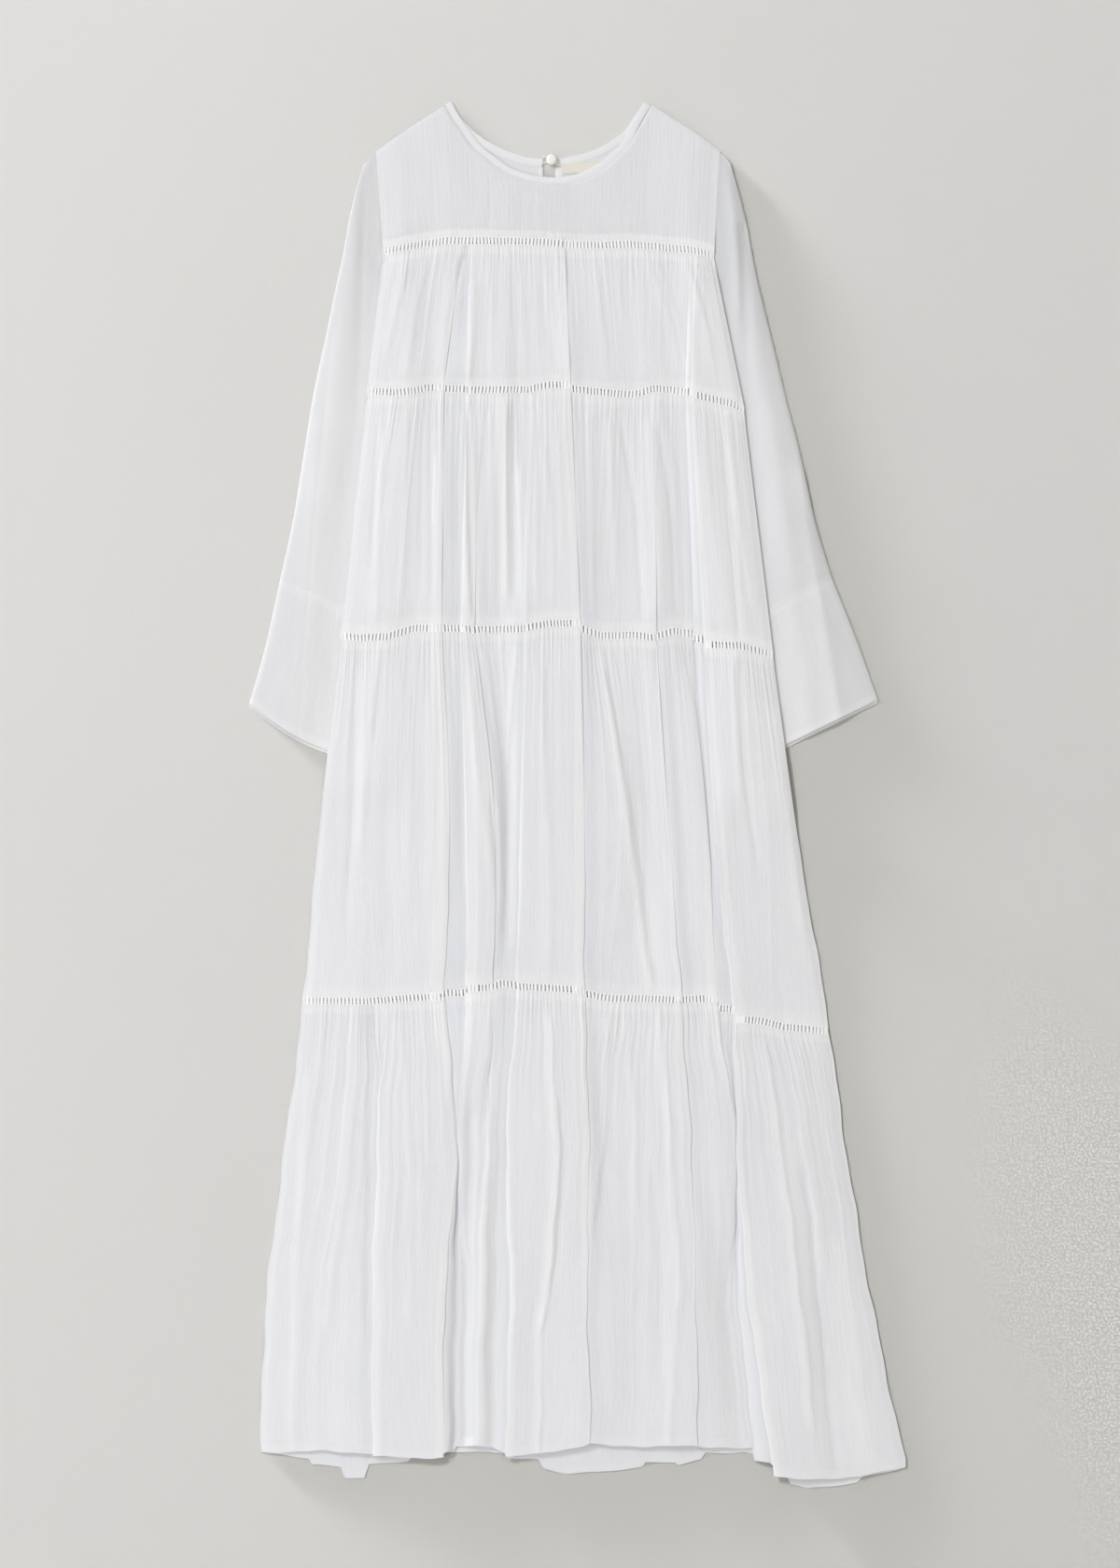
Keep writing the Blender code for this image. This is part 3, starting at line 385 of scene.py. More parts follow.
# Sides of the body over the sleeves, and the long fold of each sleeve: down and across of their places
SIDE_EDGES = {
    "left": ((0, -174), (157, -174), (302, -191), (556, -218), (745, -239)),
    "right": ((0, 170), (163, 170), (322, 201), (576, 231), (760, 257)),
}
SLEEVE_FOLDS = {
    "left": ((120.0, -215.0), (438.0, -246.0), (656.0, -262.0)),
    "right": ((120.0, 228.0), (438.0, 266.0), (639.0, 302.0)),
}


def crease(height, left, right, cloth, *places):
    """A crease with the line of places that it runs through, from top to bottom."""
    return height, left, right, cloth, np.array(places[0::2], float), np.array(places[1::2], float)


# Main creases of each front tier, as they lie. A ridge has a height above 0 and a valley below.
# left and right are its widths to each side, and cloth is how much more cloth is folded into it.
# After these come the across and down of the places that it runs through.
CREASES = {
    "tier_1": [
        crease(0.7, 5, 3, 0.0, -148, 167, -160, 215, -170, 264),
        crease(0.6, 5, 3, 0.0, -129, 167, -141, 225, -147, 283),
        crease(-1.1, 3, 7, 0.0, -90, 157, -100, 206, -105, 244, -109, 283),
        crease(1.0, 5, 4, 0.2, -79, 186, -81, 244, -86, 283),
        crease(0.6, 4, 4, 0.0, -62, 167, -61, 225, -61, 283),
        crease(0.5, 4, 4, 0.0, -31, 186, -29, 225, -26, 283),
        crease(-0.7, 4, 5, 0.0, -10, 186, -4, 230, 2, 264),
        crease(1.1, 8, 2.5, 0.2, 15, 167, 17, 244, 20, 293),
        crease(0.5, 4, 4, 0.0, 48, 186, 52, 235, 56, 283),
        crease(0.5, 4, 3, 0.0, 70, 177, 73, 206, 76, 235),
        crease(0.8, 6, 3, 0.1, 102, 167, 126, 235, 134, 283),
        crease(0.6, 4, 3, 0.0, 110, 165, 134, 235, 143, 283),
        crease(0.9, 6, 3, 0.1, 141, 167, 160, 225, 170, 283),
        crease(-0.6, 3, 3, 0.0, 148, 172, 158, 206, 165, 235),
    ],
    "tier_2": [
        crease(-0.8, 3, 4, 0.0, -171, 322, -178, 380, -184, 438),
        crease(-0.6, 3, 4, 0.0, -179, 322, -183, 400, -186, 477),
        crease(0.8, 4, 4, 0.1, -175, 332, -178, 419, -182, 535),
        crease(0.6, 4, 4, 0.0, -149, 322, -151, 400, -155, 516),
        crease(0.5, 4, 4, 0.0, -139, 322, -139, 400, -140, 516),
        crease(0.5, 4, 4, 0.0, -129, 322, -129, 400, -129, 516),
        crease(0.6, 4, 4, 0.0, -119, 322, -118, 400, -118, 516),
        crease(1.0, 4, 2.5, 0.3, -91, 322, -90, 419, -85, 535),
        crease(-1.2, 2, 3, 0.0, -86, 322, -84, 438, -80, 535),
        crease(0.6, 4, 4, 0.0, -62, 322, -61, 400, -60, 516),
        crease(1.5, 6, 3, 0.4, -48, 312, -47, 419, -46, 516),
        crease(-1.4, 4, 4, 0.0, -38, 312, -38, 419, -37, 516),
        crease(1.2, 3, 5, 0.3, -32, 380, -30, 438, -27, 555),
        crease(0.6, 3, 3, 0.0, -17, 322, -16, 400, -15, 516),
        crease(0.7, 4, 4, 0.0, -8, 361, 0, 419, 2, 516),
        crease(0.6, 4, 4, 0.0, 8, 351, 10, 400, 13, 477),
        crease(0.6, 4, 4, 0.0, 41, 322, 41, 419, 45, 535),
        crease(0.8, 4, 4, 0.1, 60, 332, 65, 419, 68, 497),
        crease(-1.0, 3, 5, 0.0, 70, 322, 87, 419, 95, 535),
        crease(0.9, 7, 6, 0.2, 102, 332, 110, 419, 114, 535),
        crease(-1.0, 3, 5, 0.0, 112, 341, 124, 419, 130, 535),
        crease(-0.9, 3, 4, 0.0, 177, 322, 189, 477, 196, 565),
        crease(0.9, 4, 6, 0.1, 178, 322, 194, 419, 211, 526),
    ],
    "tier_3": [
        crease(-0.9, 4, 5, 0.0, -203, 594, -205, 729, -213, 856),
        crease(1.0, 6, 5, 0.1, -178, 569, -189, 662, -199, 778),
        crease(-0.8, 2, 4, 0.0, -176, 569, -179, 613, -183, 662),
        crease(0.7, 6, 6, 0.0, -149, 613, -148, 729, -149, 846),
        crease(0.6, 5, 5, 0.0, -124, 613, -124, 729, -126, 846),
        crease(0.9, 5, 4, 0.2, -81, 594, -75, 700, -62, 797),
        crease(-1.0, 3, 3, 0.0, -76, 569, -68, 613, -63, 652),
        crease(-1.7, 2.5, 3, 0.0, -61, 729, -56, 797, -57, 831),
        crease(-1.4, 7, 7, 0.0, -42, 652, -43, 749, -44, 875),
        crease(0.8, 3, 3, 0.2, -36, 569, -42, 632, -44, 681),
        crease(0.7, 5, 5, 0.0, -12, 594, -6, 691, -2, 768),
        crease(0.9, 6, 5, 0.1, -2, 749, -1, 826, 0, 909),
        crease(1.2, 6, 2.5, 0.3, 53, 569, 72, 691, 104, 923),
        crease(-1.1, 3, 7, 0.0, 60, 594, 80, 700, 111, 923),
        crease(-0.9, 2, 3, 0.0, 110, 566, 110, 584, 112, 608),
        crease(0.9, 10, 8, 0.1, 141, 594, 147, 720, 157, 865),
        crease(0.7, 5, 5, 0.0, 177, 594, 179, 671, 186, 768),
        crease(0.8, 5, 4, 0.1, 189, 579, 192, 642, 196, 720),
        crease(-1.0, 3, 5, 0.0, 194, 589, 201, 691, 215, 797),
        crease(1.2, 9, 9, 0.2, 235, 632, 247, 749, 264, 865),
    ],
    "tier_4": [
        crease(1.0, 5, 7, 0.1, -251, 1011, -262, 1195, -268, 1399),
        crease(1.0, 6, 5, 0.1, -199, 948, -210, 1098, -234, 1273),
        crease(-0.9, 4, 4, 0.0, -184, 948, -187, 1079, -191, 1273),
        crease(0.8, 5, 5, 0.0, -155, 957, -146, 1079, -146, 1273),
        crease(0.8, 4, 4, 0.0, -139, 982, -137, 1069, -135, 1176),
        crease(1.2, 3, 6, 0.2, -59, 1011, -69, 1156, -76, 1399),
        crease(-1.2, 6, 5, 0.0, -81, 1050, -85, 1195, -89, 1399),
        crease(1.3, 6, 2.5, 0.3, 0, 953, 7, 1117, -8, 1273),
        crease(1.1, 6, 2.5, 0.2, -8, 1253, -10, 1321, -12, 1408),
        crease(-1.0, 2.5, 6, 0.0, 11, 1040, 12, 1137, 2, 1234),
        crease(1.0, 5, 3, 0.1, 61, 948, 57, 1050, 43, 1176),
        crease(0.8, 5, 4, 0.1, 80, 953, 87, 1059, 91, 1176),
        crease(1.2, 5, 4, 0.2, 113, 948, 124, 1079, 135, 1244),
        crease(1.0, 5, 5, 0.1, 135, 1234, 128, 1302, 124, 1408),
        crease(-1.0, 6, 5, 0.0, 109, 1117, 114, 1214, 113, 1331),
        crease(0.7, 6, 5, 0.0, 162, 953, 170, 1059, 177, 1185),
        crease(1.2, 7, 3, 0.2, 223, 977, 247, 1147, 274, 1379),
        crease(-1.3, 4, 7, 0.0, 264, 1108, 279, 1244, 296, 1423),
        crease(1.1, 14, 14, 0.2, 299, 1185, 312, 1302, 330, 1423),
        crease(0.9, 7, 6, 0.1, 257, 982, 270, 1098, 285, 1214),
    ],
    "yoke": [
        crease(-0.5, 3, 3, 0.0, -62, 95, -63, 120, -64, 146),
        crease(0.4, 3, 3, 0.1, -45, 92, -46, 120, -47, 146),
        crease(-0.4, 3, 3, 0.0, -30, 95, -30, 120, -30, 146),
        crease(0.4, 3, 3, 0.1, -12, 95, -12, 120, -12, 146),
        crease(0.5, 8, 8, 0.0, -150, 50, -152, 100, -153, 146),
        crease(0.5, 8, 8, 0.0, 140, 50, 142, 100, 143, 146),
    ],
    "sleeve_left": [
        crease(-1.4, 6, 6, 0.0, -192, 80, -196, 200, -197, 330),
        crease(0.9, 9, 9, 0.1, -244, 330, -251, 500, -262, 660),
    ],
    "sleeve_right": [
        crease(2.0, 7, 5, 0.1, 182, 66, 194, 180, 190, 260),
        crease(-2.5, 7, 7, 0.0, 200, 128, 203, 225, 201, 310),
        crease(1.6, 9, 9, 0.1, 262, 380, 280, 520, 302, 660),
    ],
}


def smooth(value):
    """Smooth step from 0 to 1."""
    value = np.clip(value, 0.0, 1.0)
    return value * value * (3.0 - 2.0 * value)


def near(distance, reach, fade):
    """1 up to a distance from an edge, then softly down to 0."""
    return 1.0 - smooth((distance - reach) / fade)


def from_sides(across):
    """Distance of each point from the nearer end of its row."""
    return np.minimum(across - across[..., :1], across[..., -1:] - across)


def run_along(steps):
    """Distance along a line at each of its points, from the lengths of its steps."""
    return np.concatenate([[0.0], np.cumsum(steps)])


def uneven(number, salt):
    """Repeatable value from 0 to 1, so that like folds differ a little."""
    value = math.sin(number * 12.9898 + salt * 78.233) * 43758.5453
    return value - math.floor(value)


def through(places, values, wanted):
    """Smooth run through a few given values."""
    places = np.asarray(places, float)
    values = np.asarray(values, float)
    wanted = np.asarray(wanted, float)
    if len(places) == 2:
        return values[0] + (values[1] - values[0]) * (wanted - places[0]) / (places[1] - places[0])
    slopes = np.gradient(values, places)
    index = np.clip(np.searchsorted(places, wanted, side="right") - 1, 0, len(places) - 2)
    span = places[index + 1] - places[index]
    t = np.clip((wanted - places[index]) / span, 0.0, 1.0)
    start, end = values[index], values[index + 1]
    return (
        start * (1 + 2 * t) * (1 - t) ** 2
        + slopes[index] * span * t * (1 - t) ** 2
        + end * t * t * (3 - 2 * t)
        - slopes[index + 1] * span * t * t * (1 - t)
    )


ACROSS_OF = {row.name: row for row in ACROSS}
LAP_OF = {row.name: row for row in LAP}
RISE_OF = {row.name: row for row in RISE}
SEAM_OF = {row.name: row for row in SEAM_DOWN}
REACH_OF = {row.section: row for row in REACH}
NAMES = [row.name for row in ACROSS]


def read(table, name, tier, parts):
    """A fold's value at places down a tier."""
    sections = SECTIONS[tier]
    if name not in table:
        return np.zeros(len(parts))
    values = [getattr(table[name], section) for part, section in sections]
    return through([part for part, section in sections], values, parts)


def guide(tier, parts):
    """Guide points of the front for each row: across, rise, and the seams above and below.

    A swell has one point and a lapped fold five, which go round its turn.
    """
    top_seam, bottom_seam = TIER_SEAMS[tier]
    points, turning = [], []
    blank = np.zeros(len(parts))
    open_part = smooth(parts / 0.12)
    if tier != "tier_4":
        open_part = open_part * smooth((1.0 - parts) / 0.12)
    flatter = SEAM_RISE + (1.0 - SEAM_RISE) * open_part
    for number, name in enumerate(NAMES):
        across = read(ACROSS_OF, name, tier, parts)
        rise = SOFTER_RISE * flatter * read(RISE_OF, name, tier, parts)
        top = getattr(SEAM_OF[name], top_seam)
        bottom = getattr(SEAM_OF[name], bottom_seam)
        if name not in LAP_OF:
            points.append(np.stack([across, rise, blank + top, blank + bottom], 1))
            turning.append(False)
            continue
        lap = np.maximum(0.0, read(LAP_OF, name, tier, parts))
        full = smooth(lap / 2.5)
        soft = 1.0 - full
        depth = LAP_STEP * (0.60 + 0.40 * np.sin(9.0 * parts + 1.9 * number))
        lower = np.maximum(rise * soft, rise - depth)
        step = rise - lower
        side = 1 if ACROSS_OF[name].kind == "over" else -1
        beside = SEAM_OF[NAMES[number + side]]
        following = read(ACROSS_OF, NAMES[number + 1], tier, parts)
        preceding = read(ACROSS_OF, NAMES[number - 1], tier, parts)
        room = np.minimum(following - across, across - preceding)
        spread = soft * np.minimum(1.0, room / 20.0)
        landing = np.minimum(4.0, 0.45 * room) * full + 8.0 * spread
        far_top = 0.5 * (top + getattr(beside, top_seam))
        far_bottom = 0.5 * (bottom + getattr(beside, bottom_seam))
        turn = [
            (across - side * 5.0 * spread, rise, top, bottom),
            (across - side * 2.0 * spread, rise - 0.5 * step, top, bottom),
            (across - side * (lap * full - 2.0 * spread), rise - 0.5 * step, top, bottom),
            (across - side * (lap * full - 5.0 * spread), lower, top, bottom),
            (across + side * landing, lower, far_top, far_bottom),
        ]
        if side < 0:
            turn.reverse()
        points += [np.stack([a, r, blank + t, blank + b], 1) for a, r, t, b in turn]
        turning += [True, True, True, True, False]
    return np.stack(points, 1), turning


def drawn(points, counts):
    """Smooth line through each row of guide points, with a set count of steps between each two."""
    line = points[:, :, :2]
    first = 2 * line[:, :1] - line[:, 1:2]
    last = 2 * line[:, -1:] - line[:, -2:-1]
    line = np.concatenate([first, line, last], 1)
    gaps = np.maximum(np.linalg.norm(np.diff(line, axis=1), axis=2), 0.05) ** 0.5
    columns = []
    for index, count in enumerate(counts):
        p0, p1, p2, p3 = (line[:, index + shift][:, None] for shift in range(4))
        t1 = gaps[:, index][:, None, None]
        t2 = t1 + gaps[:, index + 1][:, None, None]
        t3 = t2 + gaps[:, index + 2][:, None, None]
        part = (np.arange(count) / count)[None, :, None]
        t = t1 + (t2 - t1) * part
        a1 = (t1 - t) / t1 * p0 + t / t1 * p1
        a2 = (t2 - t) / (t2 - t1) * p1 + (t - t1) / (t2 - t1) * p2
        a3 = (t3 - t) / (t3 - t2) * p2 + (t - t2) / (t3 - t2) * p3
        b1 = (t2 - t) / t2 * a1 + t / t2 * a2
        b2 = (t3 - t) / (t3 - t1) * a2 + (t - t1) / (t3 - t1) * a3
        curve = (t2 - t) / (t2 - t1) * b1 + (t - t1) / (t2 - t1) * b2
        seams = points[:, index, None, 2:] * (1 - part) + points[:, index + 1, None, 2:] * part
        columns.append(np.concatenate([curve, seams], 2))
    columns.append(points[:, -1:, :])
    return np.concatenate(columns, 1)


def steps_for(tier, points, turning):
    """Count of steps between each two guide points of a tier."""
    gaps = np.linalg.norm(np.diff(points[:, :, :2], axis=1), axis=2).max(0)
    counts = []
    for gap, turn in zip(gaps, turning):
        counts.append(3 if turn else max(2, round(gap / FINENESS[tier].step)))
    return counts


def lift(tier, across, part):
    """How far the body is raised over the sleeves, at places on a tier."""
    if tier == "tier_4":
        return np.zeros(np.shape(across))
    sections = [(place, name) for place, name in SECTIONS[tier] if name in REACH_OF]
    places = [place for place, name in sections]
    left = np.interp(part, places, [REACH_OF[name].left for place, name in sections])
    right = np.interp(part, places, [REACH_OF[name].right for place, name in sections])
    raised = 1.0
    if tier == "tier_1":
        raised = 0.45 + 0.55 * smooth(part / 0.15)
    if tier == "tier_3":
        raised = 1.0 - smooth((part - 0.37) / 0.12)
    over_sleeve = np.maximum(near(across, left, LIFT_RAMP), near(-across, -right, LIFT_RAMP))
    return SLEEVE_LIFT * over_sleeve * raised


def ridge(off, left, right):
    """Height of a crease at a distance from its line, each side with its own width."""
    return np.exp(-((off / np.where(off < 0, left, right)) ** 2))


def pinch(off, width):
    """Height of a gather, which is sharper along its top than a crease."""
    return np.exp(-np.abs(off / width) ** 1.25)


def gathered(tier, place, part, seed=0):
    """Uneven gathers that fan out below a seam: many short ones and fewer long ones."""
    total = np.zeros(np.broadcast(place, part).shape)
    for family, kind in enumerate(GATHERS[tier]):
        line, number = 0.0, 0
        while line < place.max():
            number += 1
            line += kind.pitch * (0.55 + 0.9 * uneven(number, family + 1 + seed))
            height = kind.height * (0.35 + 0.95 * uneven(number, family + 5 + seed))
            reach = kind.reach * (0.30 + 0.95 * uneven(number, family + 9 + seed))
            drift = 7.0 * (uneven(number, family + 13 + seed) - 0.5)
            sway = 1.6 * np.sin(part * (4 + 5 * uneven(number, family + 17)) + number)
            width = kind.width * (0.7 + 0.6 * uneven(number, family + 21 + seed)) * (1.0 + 1.1 * part)
            off = place - line - drift * part - sway * part
            fade = smooth((reach - part) / (0.6 * reach)) * smooth(part / 0.03 + 0.25)
            total += height * fade * (pinch(off, width) - 0.45 * ridge(off, 2.4 * width, 2.4 * width))
    return total * GATHER_DEPTH


def creased(tier, across, down):
    """Heights of the listed creases, and the cloth that is folded into them."""
    total = np.zeros(across.shape)
    folded = np.zeros(across.shape)
    for height, left, right, cloth, line_across, line_down in CREASES.get(tier, ()):
        middle = through(line_down, line_across, down)
        fade = smooth((down - line_down[0]) / 12.0 + 0.5) * smooth((line_down[-1] - down) / 26.0 + 0.5)
        shape = ridge(across - middle, left, right) * fade
        total += CREASE_DEPTH * height * shape
        folded += cloth * shape
    return total, folded


def lapped_and_shaded(tier, across, parts):
    """How much thicker the cloth shows where a fold lies over itself (above 0), with painted shade (below 0)
    on the lower cloth beside its edge.
    """
    total = np.zeros(across.shape)
    for name in LAP_OF:
        line = read(ACROSS_OF, name, tier, parts)[:, None]
        lap = np.maximum(0.0, read(LAP_OF, name, tier, parts))[:, None]
        side = 1 if ACROSS_OF[name].kind == "over" else -1
        off = (line - across) * side
        total += smooth((off + 1.0) / 1.5) * smooth((lap - off) / 2.5) * np.minimum(1.0, lap / 4.0)
        # Painted shade on the lower cloth beside the lap's edge
        total -= LAP_SHADE * smooth((off + 17.0) / 9.0) * smooth(-off / 1.5) * np.minimum(1.0, lap / 7.0)
    return np.clip(total, -LAP_SHADE, 1.0)


def place(across, down, height):
    """Metres in the model for a place on the dress and a height in mm, with the skirt's slight sway."""
    across, down, height = np.broadcast_arrays(across, down, height)
    below = smooth((down - 720.0) / 200.0)
    wave = np.sin(down / 21.0 + across / 95.0) + 0.5 * np.sin(down / 8.7 + across / 60.0 + 2.0)
    across = across + SWAY * below * wave
    return np.stack([(across + SHIFT_ACROSS) * MM, (MIDDLE_DOWN - down) * MM, height * MM], -1)


def lay_sheet(name, points, layers, gather=0.0, edge=0.0, wall=0.4, weld=False, holes=None):
    """A sheet of cloth: a flat grid moved onto rows of points, then given its thickness."""
    rows, columns = points.shape[:2]
    bpy.ops.object.select_all(action="DESELECT")
    bpy.ops.mesh.primitive_grid_add(x_subdivisions=columns - 1, y_subdivisions=rows - 1, size=2.0)
    piece = bpy.context.object
    piece.name = name
    piece.data.name = name
    mesh = piece.data
    flat = np.zeros(len(mesh.vertices) * 3)
    mesh.vertices.foreach_get("co", flat)
    flat = flat.reshape(-1, 3)
    column = np.rint((flat[:, 0] + 1.0) / 2.0 * (columns - 1)).astype(int)
    row = np.rint((1.0 - flat[:, 1]) / 2.0 * (rows - 1)).astype(int)
    mesh.vertices.foreach_set("co", points[row, column].ravel())
    along = run_along(np.linalg.norm(np.diff(points, axis=1), axis=2).mean(0))
    below = run_along(np.linalg.norm(np.diff(points, axis=0), axis=2).mean(1))
    corners = np.zeros(len(mesh.loops), dtype=np.int32)
    mesh.loops.foreach_get("vertex_index", corners)
    spread = np.stack([along[column[corners]], 1.0 - below[row[corners]]], 1)
    mesh.uv_layers.active.data.foreach_set("uv", spread.ravel())
    for label, values in (("layers", layers), ("gather", gather), ("edge", edge)):
        values = np.broadcast_to(values, (rows, columns))[row, column]
        mesh.attributes.new(label, "FLOAT", "POINT").data.foreach_set("value", values.ravel())
    if holes is not None:
        bpy.ops.object.mode_set(mode="EDIT")
        bpy.ops.mesh.select_all(action="DESELECT")
        bpy.ops.mesh.select_mode(type="FACE")
        bpy.ops.object.mode_set(mode="OBJECT")
        middles = np.zeros(len(mesh.polygons) * 3)
        mesh.polygons.foreach_get("center", middles)
        mesh.polygons.foreach_set("select", holes(middles.reshape(-1, 3)))
        bpy.ops.object.mode_set(mode="EDIT")
        bpy.ops.mesh.delete(type="FACE")
        bpy.ops.object.mode_set(mode="OBJECT")
    if weld:
        bpy.ops.object.mode_set(mode="EDIT")
        bpy.ops.mesh.select_all(action="SELECT")
        bpy.ops.mesh.remove_doubles(threshold=0.00002)
        bpy.ops.object.mode_set(mode="OBJECT")
    thicken = piece.modifiers.new("Thickness", "SOLIDIFY")
    thicken.thickness = wall * MM
    thicken.offset = 0.0
    bpy.ops.object.modifier_apply(modifier="Thickness")
    bpy.ops.object.shade_smooth_by_angle(angle=RIM_ANGLE)
    return piece


def dress_piece(piece, node, material):
    """Hand a finished piece to the model: its material and the solid that it stands for."""
    piece.data.materials.clear()
    piece.data.materials.append(material)
    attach(piece, "root")
    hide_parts(node)
    return piece


def cut_as(piece):
    """Read the areas of a sheet's faces, which nothing uses."""
    sizes = np.zeros(len(piece.data.polygons))
    piece.data.polygons.foreach_get("area", sizes)


def node(tree, kind, **values):
    made = tree.nodes.new(kind)
    for name, value in values.items():
        setattr(made, name, value)
    return made


def link(tree, source, target):
    tree.links.new(source, target)


def figure(tree, operation, first, second=None, third=None, clamp=False):
    """A Math node on sockets or plain numbers."""
    made = node(tree, "ShaderNodeMath", operation=operation, use_clamp=clamp)
    for socket, value in zip(made.inputs, (first, second, third)):
        if value is None:
            continue
        if isinstance(value, (int, float)):
            socket.default_value = value
        else:
            link(tree, value, socket)
    return made.outputs[0]


def noise(tree, where, scale=1.0, detail=2.0, distortion=0.0, dimensions="3D"):
    """A Noise Texture node read at a place."""
    made = node(tree, "ShaderNodeTexNoise", noise_dimensions=dimensions)
    made.inputs["Scale"].default_value = scale
    made.inputs["Detail"].default_value = detail
    made.inputs["Distortion"].default_value = distortion
    link(tree, where, made.inputs["Vector"])
    return made


def centred(tree, made):
    """A noise's strength, moved to lie evenly about 0."""
    return figure(tree, "SUBTRACT", made.outputs["Fac"], 0.5)


def stretched(tree, where, scale):
    """A place with each of its axes scaled."""
    mapping = node(tree, "ShaderNodeMapping")
    mapping.inputs["Scale"].default_value = scale
    link(tree, where, mapping.inputs["Vector"])
    return mapping.outputs[0]


def between(tree, share, first, second):
    """The colour that lies between two others by a share."""
    mix = node(tree, "ShaderNodeMix", data_type="RGBA")
    mix.inputs["A"].default_value = (*first, 1.0)
    mix.inputs["B"].default_value = (*second, 1.0)
    link(tree, share, mix.inputs["Factor"])
    return mix.outputs["Result"]


def bumped(tree, relief, depth):
    """The normal of a relief that is given in depths of so many mm."""
    bump = node(tree, "ShaderNodeBump")
    bump.inputs["Strength"].default_value = 1.0
    bump.inputs["Distance"].default_value = depth * MM
    link(tree, relief, bump.inputs["Height"])
    return bump.outputs[0]


def new_group(name, inputs, outputs):
    """An empty shader node group with named sockets."""
    group = bpy.data.node_groups.new(name, "ShaderNodeTree")
    for label, kind, value in inputs:
        socket = group.interface.new_socket(label, in_out="INPUT", socket_type=kind)
        if value is not None:
            socket.default_value = value
    for label in outputs:
        group.interface.new_socket(label, in_out="OUTPUT", socket_type="NodeSocketFloat")
    start = node(group, "NodeGroupInput")
    end = node(group, "NodeGroupOutput")
    return group, start.outputs, end.inputs


def weave_group():
    """Plain weave with thicker threads here and there. Place is in mm of cloth."""
    group, given, result = new_group(
        "Plain weave",
        [("Place", "NodeSocketVector", None), ("Threads per mm", "NodeSocketFloat", 2.2),
         ("Slub", "NodeSocketFloat", 0.5)],
        ["Relief", "Tone"],
    )
    split = node(group, "ShaderNodeSeparateXYZ")
    link(group, given["Place"], split.inputs[0])
    threads = []
    for axis in (0, 1):
        turn = figure(group, "MULTIPLY", split.outputs[axis], given["Threads per mm"])
        wave = figure(group, "SINE", figure(group, "MULTIPLY", turn, 2.0 * math.pi))
        threads.append(figure(group, "MULTIPLY_ADD", wave, 0.5, 0.5))
    cross = figure(group, "MULTIPLY", threads[0], threads[1])
    over = figure(group, "MAXIMUM", threads[0], threads[1])
    slubs = []
    for scale in ((0.9, 0.05, 1.0), (0.05, 0.9, 1.0)):
        slubs.append(centred(group, noise(group, stretched(group, given["Place"], scale))))
    slub = figure(group, "MULTIPLY", figure(group, "ADD", slubs[0], slubs[1]), given["Slub"])
    relief = figure(group, "ADD", figure(group, "SUBTRACT", over, cross), slub)
    link(group, relief, result["Relief"])
    link(group, figure(group, "MULTIPLY_ADD", slub, 0.6, 0.5, clamp=True), result["Tone"])
    return group


def crinkle_group():
    """Soft crushed creases of washed cotton, longer down the cloth than across it."""
    group, given, result = new_group(
        "Washed crinkle",
        [("Place", "NodeSocketVector", None), ("Across", "NodeSocketFloat", 0.14),
         ("Down", "NodeSocketFloat", 0.04), ("Roughness", "NodeSocketFloat", 0.55)],
        ["Relief", "Tone"],
    )
    scale = node(group, "ShaderNodeCombineXYZ")
    link(group, given["Across"], scale.inputs[0])
    link(group, given["Down"], scale.inputs[1])
    where = node(group, "ShaderNodeVectorMath", operation="MULTIPLY")
    link(group, given["Place"], where.inputs[0])
    link(group, scale.outputs[0], where.inputs[1])
    creases = noise(group, where.outputs[0], detail=4.0, distortion=0.4)
    link(group, given["Roughness"], creases.inputs["Roughness"])
    broad = noise(group, where.outputs[0], scale=0.35)
    link(group, centred(group, creases), result["Relief"])
    link(group, centred(group, broad), result["Tone"])
    return group


def gather_group():
    """Fine pressed gathers that run down from a seam, too narrow for the sheet itself."""
    group, given, result = new_group(
        "Fine gathers",
        [("Place", "NodeSocketVector", None), ("Amount", "NodeSocketFloat", 1.0),
         ("Pitch", "NodeSocketFloat", 3.6)],
        ["Relief"],
    )
    split = node(group, "ShaderNodeSeparateXYZ")
    link(group, given["Place"], split.inputs[0])
    where = node(group, "ShaderNodeCombineXYZ")
    link(group, figure(group, "DIVIDE", split.outputs[0], given["Pitch"]), where.inputs[0])
    link(group, figure(group, "MULTIPLY", split.outputs[1], 0.02), where.inputs[1])
    height = centred(group, noise(group, where.outputs[0], dimensions="2D"))
    link(group, figure(group, "MULTIPLY", height, given["Amount"]), result["Relief"])
    return group


def stitch_group():
    """A line of machine stitches at a set distance from a sewn edge."""
    group, given, result = new_group(
        "Stitch line",
        [("Along", "NodeSocketFloat", 0.0), ("Edge", "NodeSocketFloat", 0.0),
         ("Inset", "NodeSocketFloat", 1.5), ("Length", "NodeSocketFloat", 2.4),
         ("Thread", "NodeSocketFloat", 0.35)],
        ["Mask"],
    )
    off = figure(group, "ABSOLUTE", figure(group, "SUBTRACT", given["Edge"], given["Inset"]))
    row = figure(group, "SUBTRACT", 1.0, figure(group, "DIVIDE", off, given["Thread"]), clamp=True)
    turn = figure(group, "FRACT", figure(group, "DIVIDE", given["Along"], given["Length"]))
    dash = figure(group, "LESS_THAN", turn, 0.72)
    link(group, figure(group, "MULTIPLY", row, dash), result["Mask"])
    return group


WEAVE = weave_group()
CRINKLE = crinkle_group()
FINE_GATHERS = gather_group()
STITCHES = stitch_group()


def use(tree, group, **values):
    """A group placed in a material, with plain numbers or sockets for its inputs."""
    made = node(tree, "ShaderNodeGroup")
    made.node_tree = group
    for name, value in values.items():
        socket = made.inputs[name.replace("_", " ")]
        if isinstance(value, (int, float)):
            socket.default_value = value
        else:
            link(tree, value, socket)
    return made.outputs


